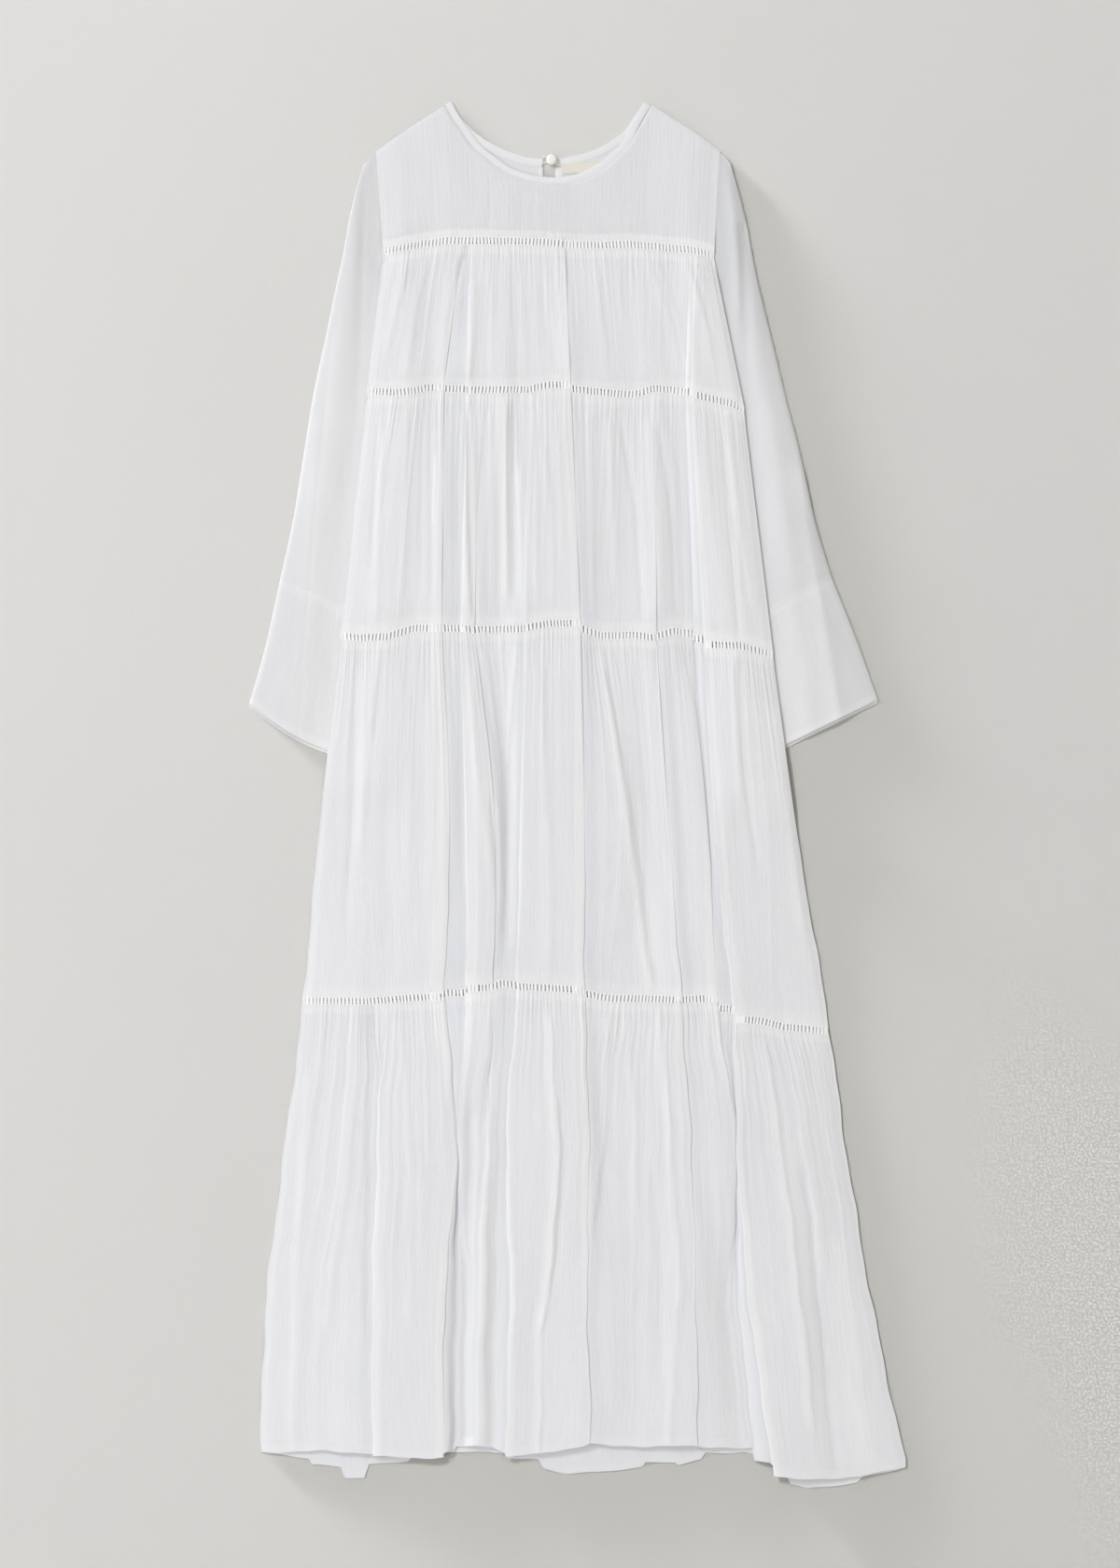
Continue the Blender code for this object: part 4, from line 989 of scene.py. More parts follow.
def attribute(tree, name):
    return node(tree, "ShaderNodeAttribute", attribute_type="GEOMETRY", attribute_name=name).outputs["Fac"]


def on_cloth(tree):
    """Place on a sheet in mm of its cloth."""
    return stretched(tree, node(tree, "ShaderNodeUVMap", uv_map="UVMap").outputs[0], (1000.0, 1000.0, 1000.0))


def new_material(name, **finish):
    """A material with its node tree and its shader, and plain values on the shader's own sockets."""
    made = bpy.data.materials.new(name)
    made.use_nodes = True
    shader = made.node_tree.nodes["Principled BSDF"]
    for label, value in finish.items():
        shader.inputs[label.replace("_", " ")].default_value = value
    return made, made.node_tree, shader


def cloth_material(name, thin, thick, crinkle=0.35, gathers=0.0, weave=0.10, stitch=1.8):
    """White cotton whose colour follows how many layers of it lie on each other, together with painted shade
    beside laps, on gathers and on the right sleeve, and painted light and shade from the fine gathers'
    relief.
    """
    made, tree, shader = new_material(
        name, Roughness=0.92, Sheen_Weight=0.12, Sheen_Roughness=0.5, Specular_IOR_Level=0.15
    )
    where = on_cloth(tree)
    woven = use(tree, WEAVE, Place=where)
    crushed = use(tree, CRINKLE, Place=where)
    fine = use(tree, FINE_GATHERS, Place=where, Amount=attribute(tree, "gather"), Pitch=2.6)
    split = node(tree, "ShaderNodeSeparateXYZ")
    link(tree, where, split.inputs[0])
    sewn_line = use(tree, STITCHES, Along=split.outputs[0], Edge=attribute(tree, "edge"), Inset=stitch)
    layers = figure(tree, "MULTIPLY_ADD", crushed["Tone"], 0.35, attribute(tree, "layers"))
    # Painted light and shade: the fine gathers' relief also makes the colour lighter on their crests and
    # darker in their hollows
    layers = figure(tree, "MULTIPLY_ADD", fine["Relief"], 0.5, layers)
    thread_tone = figure(tree, "SUBTRACT", woven["Tone"], 0.5)
    layers = figure(tree, "MULTIPLY_ADD", thread_tone, 0.35, layers, clamp=True)
    colour = between(tree, layers, thin, thick)
    link(tree, colour, shader.inputs["Base Color"])
    relief = figure(tree, "MULTIPLY", woven["Relief"], weave)
    relief = figure(tree, "MULTIPLY_ADD", crushed["Relief"], crinkle, relief)
    relief = figure(tree, "MULTIPLY_ADD", fine["Relief"], gathers, relief)
    relief = figure(tree, "MULTIPLY_ADD", sewn_line["Mask"], -0.12, relief)
    normal = bumped(tree, relief, 1.0)
    link(tree, normal, shader.inputs["Normal"])
    through_cloth = node(tree, "ShaderNodeBsdfTranslucent")
    link(tree, colour, through_cloth.inputs["Color"])
    link(tree, normal, through_cloth.inputs["Normal"])
    both = node(tree, "ShaderNodeMixShader")
    both.inputs["Fac"].default_value = GLOW
    link(tree, shader.outputs[0], both.inputs[1])
    link(tree, through_cloth.outputs[0], both.inputs[2])
    shadow_ray = node(tree, "ShaderNodeLightPath").outputs["Is Shadow Ray"]
    clear = node(tree, "ShaderNodeBsdfTransparent")
    faint = node(tree, "ShaderNodeMixShader")
    link(tree, figure(tree, "MULTIPLY", shadow_ray, SHEER), faint.inputs["Fac"])
    link(tree, both.outputs[0], faint.inputs[1])
    link(tree, clear.outputs[0], faint.inputs[2])
    link(tree, faint.outputs[0], tree.nodes["Material Output"].inputs["Surface"])
    return made


voile = cloth_material("voile", THIN, THICK, gathers=1.0)
# Sleeves and cuffs: darker copies of the voile, as painted shade
shaded_sleeve_voile = cloth_material("shaded_sleeve_voile", SHADED_SLEEVE_THIN, THICK, crinkle=0.45)
shaded_cuff_voile = cloth_material("shaded_cuff_voile", SHADED_SLEEVE_THIN, THICK, crinkle=0.5)
hem_voile = cloth_material("hem_voile", THIN, THICK, crinkle=0.3)
braid = cloth_material("ladder_braid", BRAID_THIN, BRAID_THICK, crinkle=0.05, weave=0.05)
bound_voile = cloth_material("bound_voile", THIN, THICK, crinkle=0.3, stitch=1.6)


def ribbon_material():
    """Cream ribbon with a fine rib across it and a darker woven edge."""
    made, tree, shader = new_material("cream_ribbon", Roughness=0.65)
    woven = use(tree, WEAVE, Place=on_cloth(tree), Threads_per_mm=3.0, Slub=0.3)
    selvedge = figure(tree, "MULTIPLY", attribute(tree, "edge"), 0.9, clamp=True)
    edging = figure(tree, "MULTIPLY", selvedge, 0.6)
    tone = figure(tree, "MULTIPLY_ADD", woven["Tone"], 0.4, edging, clamp=True)
    link(tree, between(tree, tone, (0.72, 0.68, 0.60), (0.82, 0.79, 0.72)), shader.inputs["Base Color"])
    link(tree, bumped(tree, woven["Relief"], 0.1), shader.inputs["Normal"])
    return made


def clouded(tree, shader, first, second, scale, distortion=0.0):
    """Faint clouds of two near colours over a surface, with their strength as a socket."""
    where = node(tree, "ShaderNodeTexCoord").outputs["Object"]
    cloud = noise(tree, where, scale, 3.0, distortion).outputs["Fac"]
    link(tree, between(tree, cloud, first, second), shader.inputs["Base Color"])
    return cloud


def pearl_material():
    """Warm white pearl button with faint cloudy bands."""
    made, tree, shader = new_material("pearl", Coat_Weight=0.6, Coat_Roughness=0.12)
    cloud = clouded(tree, shader, (0.78, 0.77, 0.72), (0.90, 0.90, 0.87), scale=320.0, distortion=1.4)
    link(tree, figure(tree, "MULTIPLY_ADD", cloud, 0.2, 0.12), shader.inputs["Roughness"])
    return made


def floor_material():
    """Pale warm grey board with a barely visible cloudiness."""
    made, tree, shader = new_material("floor", Roughness=0.95, Specular_IOR_Level=0.0)
    clouded(tree, shader, (0.406, 0.398, 0.384), (0.420, 0.412, 0.398), scale=3.0)
    return made


def thread_material():
    """White twisted thread."""
    made, tree, shader = new_material("thread", Base_Color=(0.84, 0.84, 0.84, 1.0), Roughness=0.7)
    twist = node(tree, "ShaderNodeTexWave", wave_type="BANDS", bands_direction="DIAGONAL")
    twist.inputs["Scale"].default_value = 900.0
    link(tree, node(tree, "ShaderNodeTexCoord").outputs["Object"], twist.inputs["Vector"])
    link(tree, bumped(tree, twist.outputs["Fac"], 0.1), shader.inputs["Normal"])
    return made


cream_ribbon = ribbon_material()
pearl = pearl_material()


def sheet_rows(tier, side):
    """Rows of a tier's sheet, how far down the tier each one lies, and the steps of its hem's rows."""
    rows = FINENESS[tier].rows if side == "front" else FINENESS[tier].back_rows
    parts = (np.arange(rows + 1) / rows) ** ROW_POWER[side]
    hem_steps = HEM_STEPS[side] if tier == "tier_4" else ()
    return rows, np.concatenate([parts, np.ones(len(hem_steps))]), hem_steps


def rows_down(tier, rows, parts, hem_steps, top, bottom, start):
    """How far down each point of a sheet lies, and its distances from the seams above and below."""
    end = HEM_HEIGHT if tier == "tier_4" else start
    down = top + start + (bottom - end - top - start) * parts[:, None]
    for index, step in enumerate(hem_steps):
        down[rows + 1 + index] += step
    return down, down - top - start, bottom - end - down


def sewn(tier, from_top, from_bottom):
    """Bands of doubled cloth at a tier's seams, its fine gathers, and the distance to its stitches."""
    bands = near(from_top, SEAM_BAND - 2.0, 4.0)
    fine = FINE_OPEN + FINE_SEWN * near(from_top, 6.0, FINE_REACH)
    if tier == "tier_4":
        return bands, fine, np.maximum(from_top, 0.0)
    bands = bands + near(from_bottom, SEAM_BAND - 2.5, 2.5)
    fine = fine * smooth(from_bottom / 12.0)
    return bands, fine, np.maximum(np.minimum(from_top, from_bottom), 0.0)


Sheet = namedtuple("Sheet", "rows across down height layers fine edge")


def front_sheet(tier):
    """The whole front of a tier as arrays, with the hem's rows after the last tier's."""
    rows, parts, hem_steps = sheet_rows(tier, "front")
    points, turning = guide(tier, parts)
    counts = steps_for(tier, points, turning)
    line = drawn(points, counts)
    across, rise, top, bottom = (line[:, :, index] for index in range(4))
    if tier == "tier_4":
        bottom = bottom + HEM_WAVE * (np.sin(across / 12.0) + 0.6 * np.sin(across / 5.1 + 1.0))
    start = LADDER_HEIGHT / 2 - LADDER_OVERLAP
    down, from_top, from_bottom = rows_down(tier, rows, parts, hem_steps, top, bottom, start)
    middle = line[rows // 2, :, :2]
    along = run_along(np.linalg.norm(np.diff(middle, axis=0), axis=1))
    calm = [np.full(count, 0.35 if turn else 1.0) for count, turn in zip(counts, turning)]
    calm = np.pad(np.concatenate(calm + [[1.0]]), 2, mode="edge")
    calm = np.convolve(calm, np.ones(5) / 5, mode="valid")
    raised = lift(tier, across, parts[:, None])
    ripples = gathered(tier, along[None, :], parts[:, None]) * calm
    bumps, folded = creased(tier, across, down)
    open_cloth = smooth(from_top / 10.0)
    if tier != "tier_4":
        open_cloth = open_cloth * smooth(from_bottom / 14.0)
        ripples = ripples * smooth(from_bottom / 18.0)
    height = LOW + rise + raised + ripples + bumps * open_cloth
    height = np.maximum(height, 1.5 + raised) - SIDE_DROOP * near(from_sides(across), 0.0, SIDE_ROUND)
    bands, fine, edge = sewn(tier, from_top, from_bottom)
    # Painted shade: the layers are lowered on the cloth beside each lap's edge, where the lap shades it
    layers = LAYERS["front"] + LAP_LAYERS_AND_SHADE * lapped_and_shaded(tier, across, parts) + folded * open_cloth
    # Painted light and shade: gathers are lighter on their crests and darker in their hollows
    layers += RAISED_LAYERS * raised / SLEEVE_LIFT + RIPPLE_LIGHT_AND_SHADE * np.clip(ripples, -1.0, 1.0)
    layers += SEAM_LAYERS["front"] * bands
    return Sheet(rows, across, down, height, np.clip(layers, 0.0, 1.0), fine, edge)


def back_seam(tier, seam, parts, across):
    """Down of a back seam, which follows the front's at its sides and middle."""
    result = np.zeros(across.shape)
    marks = np.stack([read(ACROSS_OF, name, tier, parts) for name in BACK_MARKS], 1)
    downs = [getattr(SEAM_OF[name], seam) for name in BACK_MARKS]
    for row, mark in enumerate(marks):
        result[row] = np.interp(across[row], mark, downs)
    return result


def back_sheet(tier):
    """The whole back of a tier as arrays, low and plain because the front lies on it."""
    rows, parts, hem_steps = sheet_rows(tier, "back")
    left = read(ACROSS_OF, "side_left", tier, parts)[:, None] + 0.3
    right = read(ACROSS_OF, "side_right", tier, parts)[:, None] - 0.3
    count = round((right - left).max() / 2.4)
    across = left + (right - left) * (np.arange(count + 1) / count)[None, :]
    top_seam, bottom_seam = TIER_SEAMS[tier]
    top = back_seam(tier, top_seam, parts, across)
    if tier == "tier_4":
        hem_across = -302 + 670 * (across - left) / (right - left)
        bottom = np.interp(hem_across, [edge.across for edge in BACK_HEM], [edge.down for edge in BACK_HEM])
        bottom = bottom + HEM_WAVE * np.sin(across / 9.0)
    else:
        bottom = back_seam(tier, bottom_seam, parts, across)
    down, from_top, from_bottom = rows_down(tier, rows, parts, hem_steps, top, bottom, BACK_TUCK)
    raised = lift(tier, across, parts[:, None])
    ripples = 0.75 * gathered(tier, (across - left)[rows // 2][None, :], parts[:, None], seed=40)
    near_seam = near(from_top, 4.0, 16.0)
    if tier != "tier_4":
        ripples = ripples * smooth(from_bottom / 18.0)
        near_seam = np.maximum(near_seam, near(from_bottom, 4.0, 16.0))
    ripples = np.clip(ripples + 0.15, 0.0, 0.95) * (1.0 - near_seam)
    height = BACK_LOW + raised + ripples + BACK_MEETS * near_seam + 0.3 * near(from_sides(across), 0.0, 4.0)
    bands, fine, edge = sewn(tier, from_top, from_bottom)
    layers = LAYERS["back"] + SEAM_LAYERS["back"] * bands
    return Sheet(rows, across, down, height, np.clip(layers, 0.0, 1.0), fine, edge)


SHEETS, TRIMS = {}, {}


def lay_tier(tier, side, sheet):
    """Lay one side of a tier, with its turned hem as a piece of its own."""
    name = tier + "_" + side
    rows, last = sheet.rows, sheet.rows + 1
    points = place(sheet.across, sheet.down, sheet.height)
    cloth = lay_sheet(
        name + "_cloth", points[:last], sheet.layers[:last], sheet.fine[:last], sheet.edge[:last], WALL[side]
    )
    SHEETS[name] = dress_piece(cloth, name, voile)
    TRIMS[name] = []
    if tier == "tier_4":
        sheet.down[rows] -= 0.5
        turned = place(sheet.across, sheet.down, sheet.height)[rows:]
        inset = sheet.down[-1:] - sheet.down[rows:]
        layers = sheet.layers[rows:] + HEM_LAYERS if side == "front" else LAYERS["hem_back"]
        hem_name = "hem_" + side
        hem = lay_sheet(hem_name + "_cloth", turned, layers, 0.3, HEM_HEIGHT - inset, WALL[hem_name])
        TRIMS[name].append(dress_piece(hem, hem_name, hem_voile))


def ladder_columns(total, seed):
    """Edges of the bars along a ladder, with how far each one leans."""
    edges, leans, spot, number = [], [], 0.0, 0
    while spot < total - BAR_PITCH:
        number += 1
        pitch = BAR_PITCH * (0.86 + 0.28 * uneven(number, seed))
        lean = 0.9 * (uneven(number // 9, seed + 4) - 0.5) + 0.3 * (uneven(number, seed + 2) - 0.5)
        edges += [spot, spot + pitch * BAR_SHARE]
        leans += [lean, lean]
        spot += pitch
    return np.array(edges + [spot, total]), np.array(leans + [0.0, 0.0])


def lay_ladder(node_name, across, down, height, seed):
    """Ladder strip along a seam: two narrow borders with bars and openings between them."""
    line = np.stack([across, down, height])
    along = run_along(np.linalg.norm(np.diff(line[(0, 2), :], axis=1), axis=0))
    edges, leans = ladder_columns(along[-1], seed)
    rows = []
    half = LADDER_HEIGHT / 2
    for offset in (-half, -half + 0.5, half - 0.5, half):
        spots = np.clip(edges + leans * offset / half, 0.0, along[-1])
        bar_across, bar_down, bar_height = (np.interp(spots, along, values) for values in line)
        rows.append(place(bar_across, bar_down + offset, bar_height))
    count = len(edges) - 1

    def openings(middles):
        faces = np.arange(len(middles))
        return (faces // count == 1) & (faces % count % 2 == 1)

    points = np.stack(rows)
    piece = lay_sheet(
        node_name + "_braid", points, LAYERS["ladder"], wall=WALL["ladder"], holes=openings
    )
    return dress_piece(piece, node_name, braid)


def seam_line(tier, steps):
    """Across, rise and down of the front along the seam above a tier."""
    points, _ = guide(tier, np.array([0.0]))
    line = drawn(points, [steps] * (points.shape[1] - 1))[0]
    return line[:, 0], line[:, 1], line[:, 2]


for tier in TIER_SEAMS:
    lay_tier(tier, "front", front_sheet(tier))
for number, (tier, (seam, _)) in enumerate(TIER_SEAMS.items()):
    across, rise, down = seam_line(tier, 12)
    height = LOW + rise + lift(tier, across, 0.0) + 0.12
    height = height - SIDE_DROOP * near(from_sides(across), 0.0, SIDE_ROUND)
    TRIMS[tier + "_front"].append(lay_ladder(seam + "_front", across, down, height, 3 * number + 1))
for number, (tier, (seam, _)) in enumerate(TIER_SEAMS.items()):
    sheet = back_sheet(tier)
    lay_tier(tier, "back", sheet)
    across = sheet.across[0]
    height = BACK_LOW + BACK_MEETS - 0.45 + lift(tier, across, 0.0)
    strip = lay_ladder(seam + "_back", across, sheet.down[0] - BACK_TUCK, height, 3 * number + 2)
    TRIMS[tier + "_back"].append(strip)
for tier, length in LENGTHS.items():
    cut_as(SHEETS[tier + "_front"])
    cut_as(SHEETS[tier + "_back"])


def smooth_edge(table, corners=()):
    """A finely drawn edge through a table, kept sharp at its corners."""
    cuts = [0] + [i for i, e in enumerate(table) if e.across in corners] + [len(table) - 1]
    across, down = [], []
    for first, last in zip(cuts, cuts[1:]):
        run = table[first:last + 1]
        size = run_along([math.hypot(b.across - a.across, b.down - a.down) for a, b in zip(run, run[1:])])
        fine = np.linspace(0.0, size[-1], max(2, int(size[-1] / 1.5)))
        across.append(through(size, [e.across for e in run], fine))
        down.append(through(size, [e.down for e in run], fine))
    return np.concatenate(across), np.concatenate(down)


def yoke_sheet(top_table, corners, foot_across, foot_down, count, rows):
    """One side of the yoke as arrays, from its top edge down to the first ladder."""
    share = np.arange(count + 1) / count
    top_across, top_down = smooth_edge(top_table, corners)
    over = top_across[0] + (top_across[-1] - top_across[0]) * share
    tuck = smooth((over - corners[0]) / 2.0) * smooth((corners[1] - over) / 2.0)
    over_down = np.interp(over, top_across, top_down) - 1.6 * tuck
    under = foot_across[0] + (foot_across[-1] - foot_across[0]) * share
    under_down = np.interp(under, foot_across, foot_down) - LADDER_HEIGHT / 2 + LADDER_OVERLAP
    parts = (np.arange(rows + 1) / rows)[:, None]
    across = over + (under - over) * parts
    down = over_down + (under_down - over_down) * parts
    return parts, across, down, down - over_down, under_down - down, under


def lay_yoke(side, across, down, height, layers, gather, distances, holes=None):
    """Lay one side of the yoke, with stitches along its foot, its sides and its neck."""
    from_foot, from_side, from_neck = distances
    edge = np.minimum(np.minimum(from_foot, from_side), from_neck + 3.0)
    points = place(across, down, height)
    name = "yoke_" + side
    piece = lay_sheet(
        name + "_cloth", points, np.clip(layers, 0, 1), gather, edge, wall=WALL[side], holes=holes
    )
    return dress_piece(piece, name, voile)


foot = np.stack(seam_line("tier_1", 6))
foot = foot[:, np.argsort(foot[0])]
parts, across, down, from_neck, from_foot, under = yoke_sheet(
    FRONT_TOP, FRONT_CORNERS, foot[0], foot[2], *YOKE_STEPS["front"]
)
from_side = from_sides(across)
swell = 1.3 * np.minimum(1.0, from_side / 20.0)
settled = smooth((parts - 0.8) / 0.2)
height = LOW + swell * (1 - settled) + np.interp(under, foot[0], foot[1]) * settled
height = height + lift("tier_1", under[None, :], 0.0) * smooth((parts - 0.7) / 0.3)
bumps, folded = creased("yoke", across, down)
height = height + bumps * smooth(from_foot / 14.0) * smooth(from_neck / 6.0)
height = height - 0.55 * near(from_neck, 0.0, 5.0)
layers = LAYERS["yoke_front"] + folded + SEAM_LAYERS["yoke_front"] * near(from_foot, SEAM_BAND - 2.5, 2.5)
layers = layers + ARMHOLE_LAYERS * near(from_side, 5.0, 2.5)
yoke_front = lay_yoke("front", across, down, height, layers, 0.32, (from_foot, from_side, from_neck))

# The back yoke's foot follows the top row of the back's first tier
first_back = back_sheet("tier_1")
foot_down = first_back.down[0] - 2.0 * BACK_TUCK + LADDER_HEIGHT / 2 - LADDER_OVERLAP
parts, across, down, from_neck, from_foot, under = yoke_sheet(
    BACK_TOP, BACK_CORNERS, first_back.across[0], foot_down, *YOKE_STEPS["back"]
)
height = BACK_LOW + 0.1 + (BACK_MEETS - 0.1) * near(from_foot, 4.0, 16.0)
height = height + lift("tier_1", under[None, :], 0.0) * smooth((parts - 0.7) / 0.3)
layers = LAYERS["yoke_back"] + SEAM_LAYERS["yoke_back"] * near(from_foot, SEAM_BAND - 2.5, 2.5)


def slit(middles):
    """Faces of the back yoke that the keyhole slit takes away."""
    across = middles[:, 0] / MM - SHIFT_ACROSS
    down = MIDDLE_DOWN - middles[:, 1] / MM
    return (across > SLIT_LEFT - 2.0) & (across < SLIT_RIGHT + 3.5) & (down < SLIT_END + 2.0)


distances = (from_foot, from_sides(across), from_neck)
yoke_back = lay_yoke("back", across, down, height, layers, 0.12, distances, slit)


def lay_binding(node_name, table, centre, arch):
    """Folded binding along a neck edge, arched a little over its filling."""
    across, down = smooth_edge(table)
    offsets = np.array([[0.15], [0.5], [1.4], [3.0], [4.8], [6.6], [7.6], [BINDING_WIDTH]])
    rounded = np.sqrt(np.clip(1.0 - ((offsets - BINDING_WIDTH / 2) / (BINDING_WIDTH / 2)) ** 2, 0, 1))
    run, fall = np.gradient(across), np.gradient(down)
    size = np.hypot(run, fall)
    points = place(across - fall / size * offsets, down + run / size * offsets, centre + arch * rounded)
    edge = BINDING_WIDTH - offsets
    piece = lay_sheet(node_name + "_cloth", points, LAYERS["binding"], 0.0, edge, wall=WALL["binding"])
    return dress_piece(piece, node_name, bound_voile)


neck_front = lay_binding("neck_binding_front", FRONT_NECK, centre=1.72, arch=0.36)
neck_left = lay_binding("neck_binding_back_left", BACK_NECK_LEFT, centre=0.55, arch=0.3)
neck_right = lay_binding("neck_binding_back_right", BACK_NECK_RIGHT, centre=0.55, arch=0.3)

# Bound edges of the keyhole slit, in the shape of a U
inner = np.array([
    (SLIT_LEFT, SLIT_TOP), (SLIT_LEFT, SLIT_END), (SLIT_RIGHT, SLIT_END), (SLIT_RIGHT, SLIT_TOP),
])
outer = np.array([
    (SLIT_OUTER_LEFT, SLIT_TOP), (SLIT_OUTER_LEFT, SLIT_OUTER_END),
    (SLIT_OUTER_RIGHT, SLIT_OUTER_END), (SLIT_OUTER_RIGHT, SLIT_TOP),
])
legs = np.concatenate([np.linspace(0, 1, 25), 1 + np.linspace(0, 1, 9)[1:], 2 + np.linspace(0, 1, 25)[1:]])
rows = []
for share in np.linspace(0.0, 1.0, 6):
    corner = inner + (outer - inner) * share
    line_across = np.interp(legs, range(4), corner[:, 0])
    line_down = np.interp(legs, range(4), corner[:, 1])
    rows.append(place(line_across, line_down, 0.45 + 0.3 * math.sin(math.pi * share)))
keyhole = lay_sheet("keyhole_binding_cloth", np.stack(rows), LAYERS["keyhole"], 0.0, 1.0, WALL["keyhole"])
dress_piece(keyhole, "keyhole_binding", bound_voile)

# Plain ribbon label, its ends sewn under the neck binding
across = np.linspace(LABEL_START, LABEL_END, 40)[None, :]
share = np.linspace(0.0, 1.0, 12)[:, None]
down = LABEL_TOP - 2.0 * (across - LABEL_START) / (LABEL_END - LABEL_START) + LABEL_HEIGHT * share
label_points = place(across, down, 0.90 + 0.25 * np.sin(share * math.pi * 0.8))
from_ends = np.minimum(across - LABEL_START, LABEL_END - across)
from_edge = np.minimum(from_ends, LABEL_HEIGHT * np.minimum(share, 1.0 - share))
label = lay_sheet("neck_label_ribbon", label_points, LAYERS["label"], 0.0, from_edge, WALL["label"])
dress_piece(label, "neck_label", cream_ribbon)
cut_as(yoke_front)
cut_as(yoke_back)
cut_as(label)

Tube = namedtuple("Tube", "across down share front puff joined below")


def tube_sheet(cuts, rows, side, bow=0.0):
    """A flattened sleeve as arrays: front layer, outer fold, back layer and inner fold."""
    outward = -1 if side == "left" else 1
    size = run_along([
        math.hypot(b.outer_across - a.outer_across, b.outer_down - a.outer_down)
        for a, b in zip(cuts, cuts[1:])
    ])
    below = np.linspace(0.0, size[-1], rows + 1)
    outer_across, outer_down, inner_across, inner_down, puff, joined = (
        through(size, [getattr(cut, field) for cut in cuts], below)[:, None] for field in Cut._fields
    )
    upper, lower = TUBE_STEPS
    share = np.concatenate([np.linspace(0.0, 1.0, upper), [1.0], np.linspace(1.0, 0.0, lower)])[None, :]
    front = np.concatenate([np.ones(upper), [0.5], np.zeros(lower)])[None, :]
    depth = bow * (below / size[-1])[:, None] * np.sin(math.pi * share) * (0.6 + 0.6 * share)
    tuck = 2.6 * smooth(1.0 - joined) * smooth(1.0 - share / 0.3)
    across = inner_across + (outer_across - inner_across) * share - outward * tuck
    across = across + outward * 0.3 * (np.abs(front - 0.5) < 0.1)
    down = inner_down + (outer_down - inner_down) * share + depth
    return Tube(across, down, share, front, puff, joined, below[:, None])


def tube_heights(side, tube):
    """Heights of a flattened sleeve, plain and low where the body lies on it."""
    outward = -1 if side == "left" else 1
    body_edge = np.interp(tube.down, *zip(*SIDE_EDGES[side]))
    clear = outward * (tube.across - body_edge) - 3.0
    crown = np.clip(np.sin(math.pi * tube.share), 0, 1) ** 0.8
    bumps, folded = creased("sleeve_" + side, tube.across, tube.down)
    swell = tube.puff * crown * smooth(clear / SLEEVE_RAMP[side]) + bumps * smooth(clear / 22.0)
    upper = SLEEVE_LOW + np.maximum(0.0, swell)
    upper = upper - 0.7 * near((1.0 - tube.share) * 100, 0.0, 3.0)
    upper = upper - 0.5 * near(tube.share * 100, 0.0, 2.0) * (tube.joined > 0.5)
    upper = upper - 0.35 * near(tube.share * 100, 0.0, 12.0) * smooth(1.0 - tube.joined)
    between_layers = np.where(tube.front < 0.1, BACK_LOW, 0.5 * (upper + BACK_LOW))
    height = np.where(tube.front > 0.9, upper, between_layers)
    meet = np.where(tube.joined > 0.5, 0.5 * (SLEEVE_LOW - 0.5 + BACK_LOW), height[:, :1])
    height[:, :1] = meet
    height[:, -1:] = np.where(tube.joined > 0.5, meet, height[:, -1:])
    return height, folded * (tube.front > 0.4)


def tube_layers(side, tube, folded):
    """Layers of a sleeve: its creases, the body's side of its long fold, and its outer rim."""
    line = np.interp(tube.down, *zip(*SLEEVE_FOLDS[side]))
    inward = 1 if side == "left" else -1
    shown = smooth((tube.down - 150.0) / 200.0)
    fold = FOLD_BAND * smooth(inward * (tube.across - line) / 3.0 + 0.5) * shown
    return folded + fold + FOLD_BAND * near((1.0 - tube.share) * 100, 0.0, 2.5)


def lay_tube(node_name, tube, height, layers, edge, material, wall):
    """Lay a sleeve or a cuff as one closed tube."""
    points = place(tube.across, tube.down, height)
    piece = lay_sheet(
        node_name + "_cloth", points, np.clip(layers, 0, 1), 0.05, edge, wall=wall, weld=True
    )
    return dress_piece(piece, node_name, material)


for side in ("left", "right"):
    tube = tube_sheet(SLEEVES[side], SLEEVE_ROWS, side)
    height, folded = tube_heights(side, tube)
    from_cuff = tube.below[-1] - tube.below
    layers = LAYERS["sleeve_" + side] + tube_layers(side, tube, folded)
    layers = layers + SLEEVE_END_LAYERS * near(from_cuff, 5.0, 2.0)
    sleeve = lay_tube("sleeve_" + side, tube, height, layers, from_cuff, shaded_sleeve_voile, WALL["sleeve"])
    cut_as(sleeve)
    tube = tube_sheet(CUFFS[side], CUFF_ROWS, side, CUFF_BOW[side])
    height, folded = tube_heights(side, tube)
    end = tube.below[-1] - tube.below
    tube = tube._replace(down=tube.down + np.where(tube.front < 0.4, 4.0, 0.0) * smooth(1.0 - end / 40.0))
    layers = LAYERS["cuff_" + side] + tube_layers(side, tube, folded)
    layers = layers + CUFF_END_LAYERS * near(end, 5.0, 2.0) + CUFF_TOP_LAYERS * near(tube.below, 4.0, 2.0)
    edge = np.minimum(tube.below, end)
    cuff = lay_tube("cuff_" + side, tube, height, layers, edge, shaded_cuff_voile, WALL["cuff"])
    cut_as(cuff)

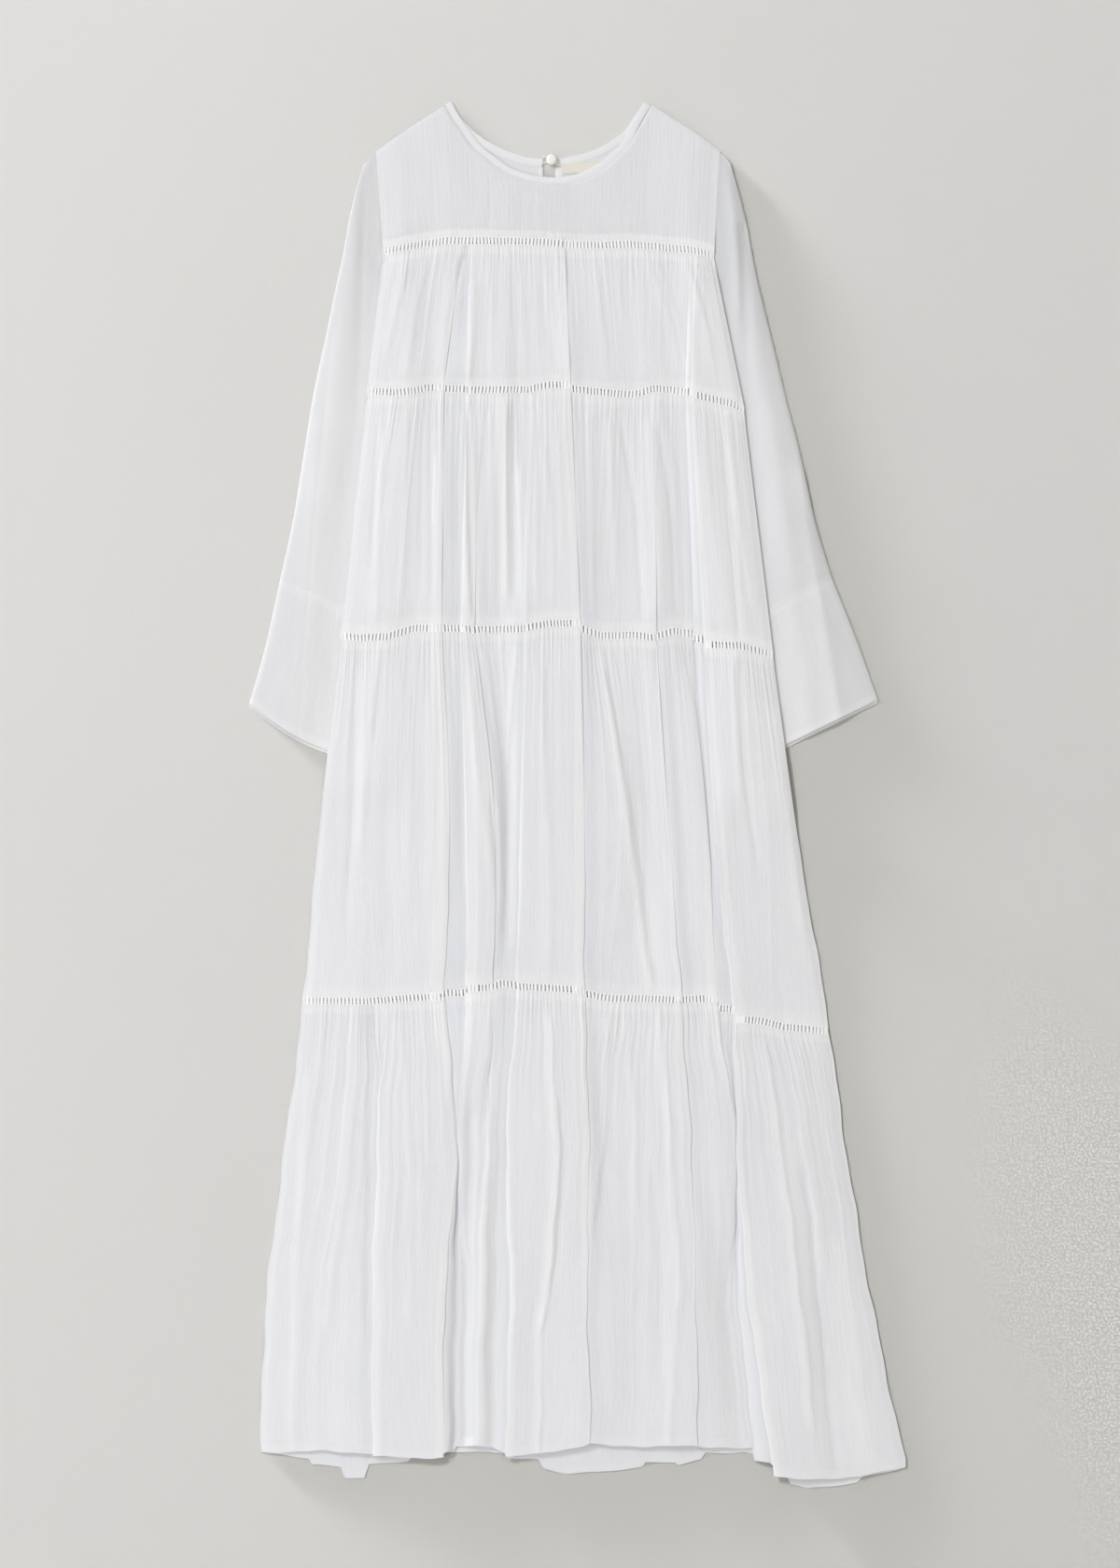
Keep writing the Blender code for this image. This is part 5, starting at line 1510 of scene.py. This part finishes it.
# Pearl shank button: a ball flattened into a domed disc with a rounded rim
bpy.ops.object.select_all(action="DESELECT")
bpy.ops.mesh.primitive_uv_sphere_add(segments=48, ring_count=28, radius=1.0)
button = bpy.context.object
button.name = "button_pearl"
for point in button.data.vertices:
    sideways, endways, upward = point.co
    reach = math.hypot(sideways, endways)
    turn = reach ** 0.62 / reach if reach > 0 else 0.0
    crown = BUTTON_DOME * upward ** 0.8 + BUTTON_RIM if upward >= 0 else BUTTON_RIM + BUTTON_FOOT * upward
    across = BUTTON_ACROSS + BUTTON_RADIUS * sideways * turn
    down = BUTTON_DOWN - BUTTON_RADIUS * endways * turn
    point.co = Vector(place(across, down, BUTTON_BASE + crown).tolist())
bpy.ops.object.shade_smooth()
dress_piece(button, "button", pearl)

# Thread loop from the left binding round the button's shank
loop_curve = bpy.data.curves.new("button_loop_thread", "CURVE")
loop_curve.dimensions = "3D"
loop_curve.bevel_depth = 0.55 * MM
loop_curve.bevel_resolution = 4
loop_curve.use_fill_caps = True
path = loop_curve.splines.new("POLY")
turns = 24
path.points.add(turns + 2)
for index, point in enumerate(path.points):
    if index in (0, turns + 2):
        across, swing = -8.4, -1.0 if index == 0 else 1.0
    else:
        angle = math.pi * ((index - 1) / turns - 0.5)
        across, swing = 0.4 + 3.0 * math.cos(angle), math.sin(angle)
    spot = place(across, BUTTON_DOWN + 3.0 * swing, 1.0)
    point.co = (*spot.tolist(), 1.0)
loop = bpy.data.objects.new("button_loop_thread", loop_curve)
bpy.context.scene.collection.objects.link(loop)
bpy.ops.object.select_all(action="DESELECT")
loop.select_set(True)
bpy.context.view_layer.objects.active = loop
bpy.ops.object.convert(target="MESH")
loop = bpy.context.object
bpy.ops.object.shade_smooth()
dress_piece(loop, "button_loop", thread_material())

# Floor, lights and camera
bpy.ops.object.select_all(action="DESELECT")
bpy.ops.mesh.primitive_plane_add(size=9.0, location=(0.0, 0.0, -0.0002))
floor = bpy.context.object
floor.name = "floor"
floor.data.materials.append(floor_material())


def area_light(name, spot, target, size, power, colour):
    lamp = bpy.data.lights.new(name, "AREA")
    lamp.shape = "DISK"
    lamp.size = size
    lamp.energy = power
    lamp.color = colour
    made = bpy.data.objects.new(name, lamp)
    made.location = spot
    made.rotation_euler = (Vector(target) - Vector(spot)).to_track_quat("-Z", "Y").to_euler()
    bpy.context.scene.collection.objects.link(made)
    return made


DAYLIGHT = (0.98, 1.0, 1.03)
area_light("window", (-6.5, 6.76, 6.1), (0.0, 0.0, 0.0), size=2.6, power=655.0, colour=DAYLIGHT)
area_light("side_panel", (-3.2, -1.6, 2.6), (0.1, 0.0, 0.0), size=2.5, power=60.0, colour=DAYLIGHT)

# A low lamp that lights the floor alone gives the dress its wide soft shadow
low_lamp = area_light(
    "low_lamp", (-8.8, 8.2, 0.38), (0.0, 0.0, 0.0), size=0.6, power=12500.0, colour=(0.94, 1.0, 1.10)
)
lit_floor = bpy.data.collections.new("lit_floor")
lit_floor.objects.link(floor)
low_lamp.light_linking.receiver_collection = lit_floor
world = bpy.data.worlds.new("studio")
world.use_nodes = True
world.node_tree.nodes["Background"].inputs["Color"].default_value = (1.0, 0.965, 0.88, 1.0)
world.node_tree.nodes["Background"].inputs["Strength"].default_value = 0.61
bpy.context.scene.world = world
bpy.context.scene.view_settings.view_transform = "Standard"

lens = bpy.data.cameras.new("camera")
lens.lens = 100.0
lens.sensor_width = 36.0
camera = bpy.data.objects.new("camera", lens)
camera.location = (-0.0174, 0.0113, 4.53)
bpy.context.scene.collection.objects.link(camera)
bpy.context.scene.camera = camera
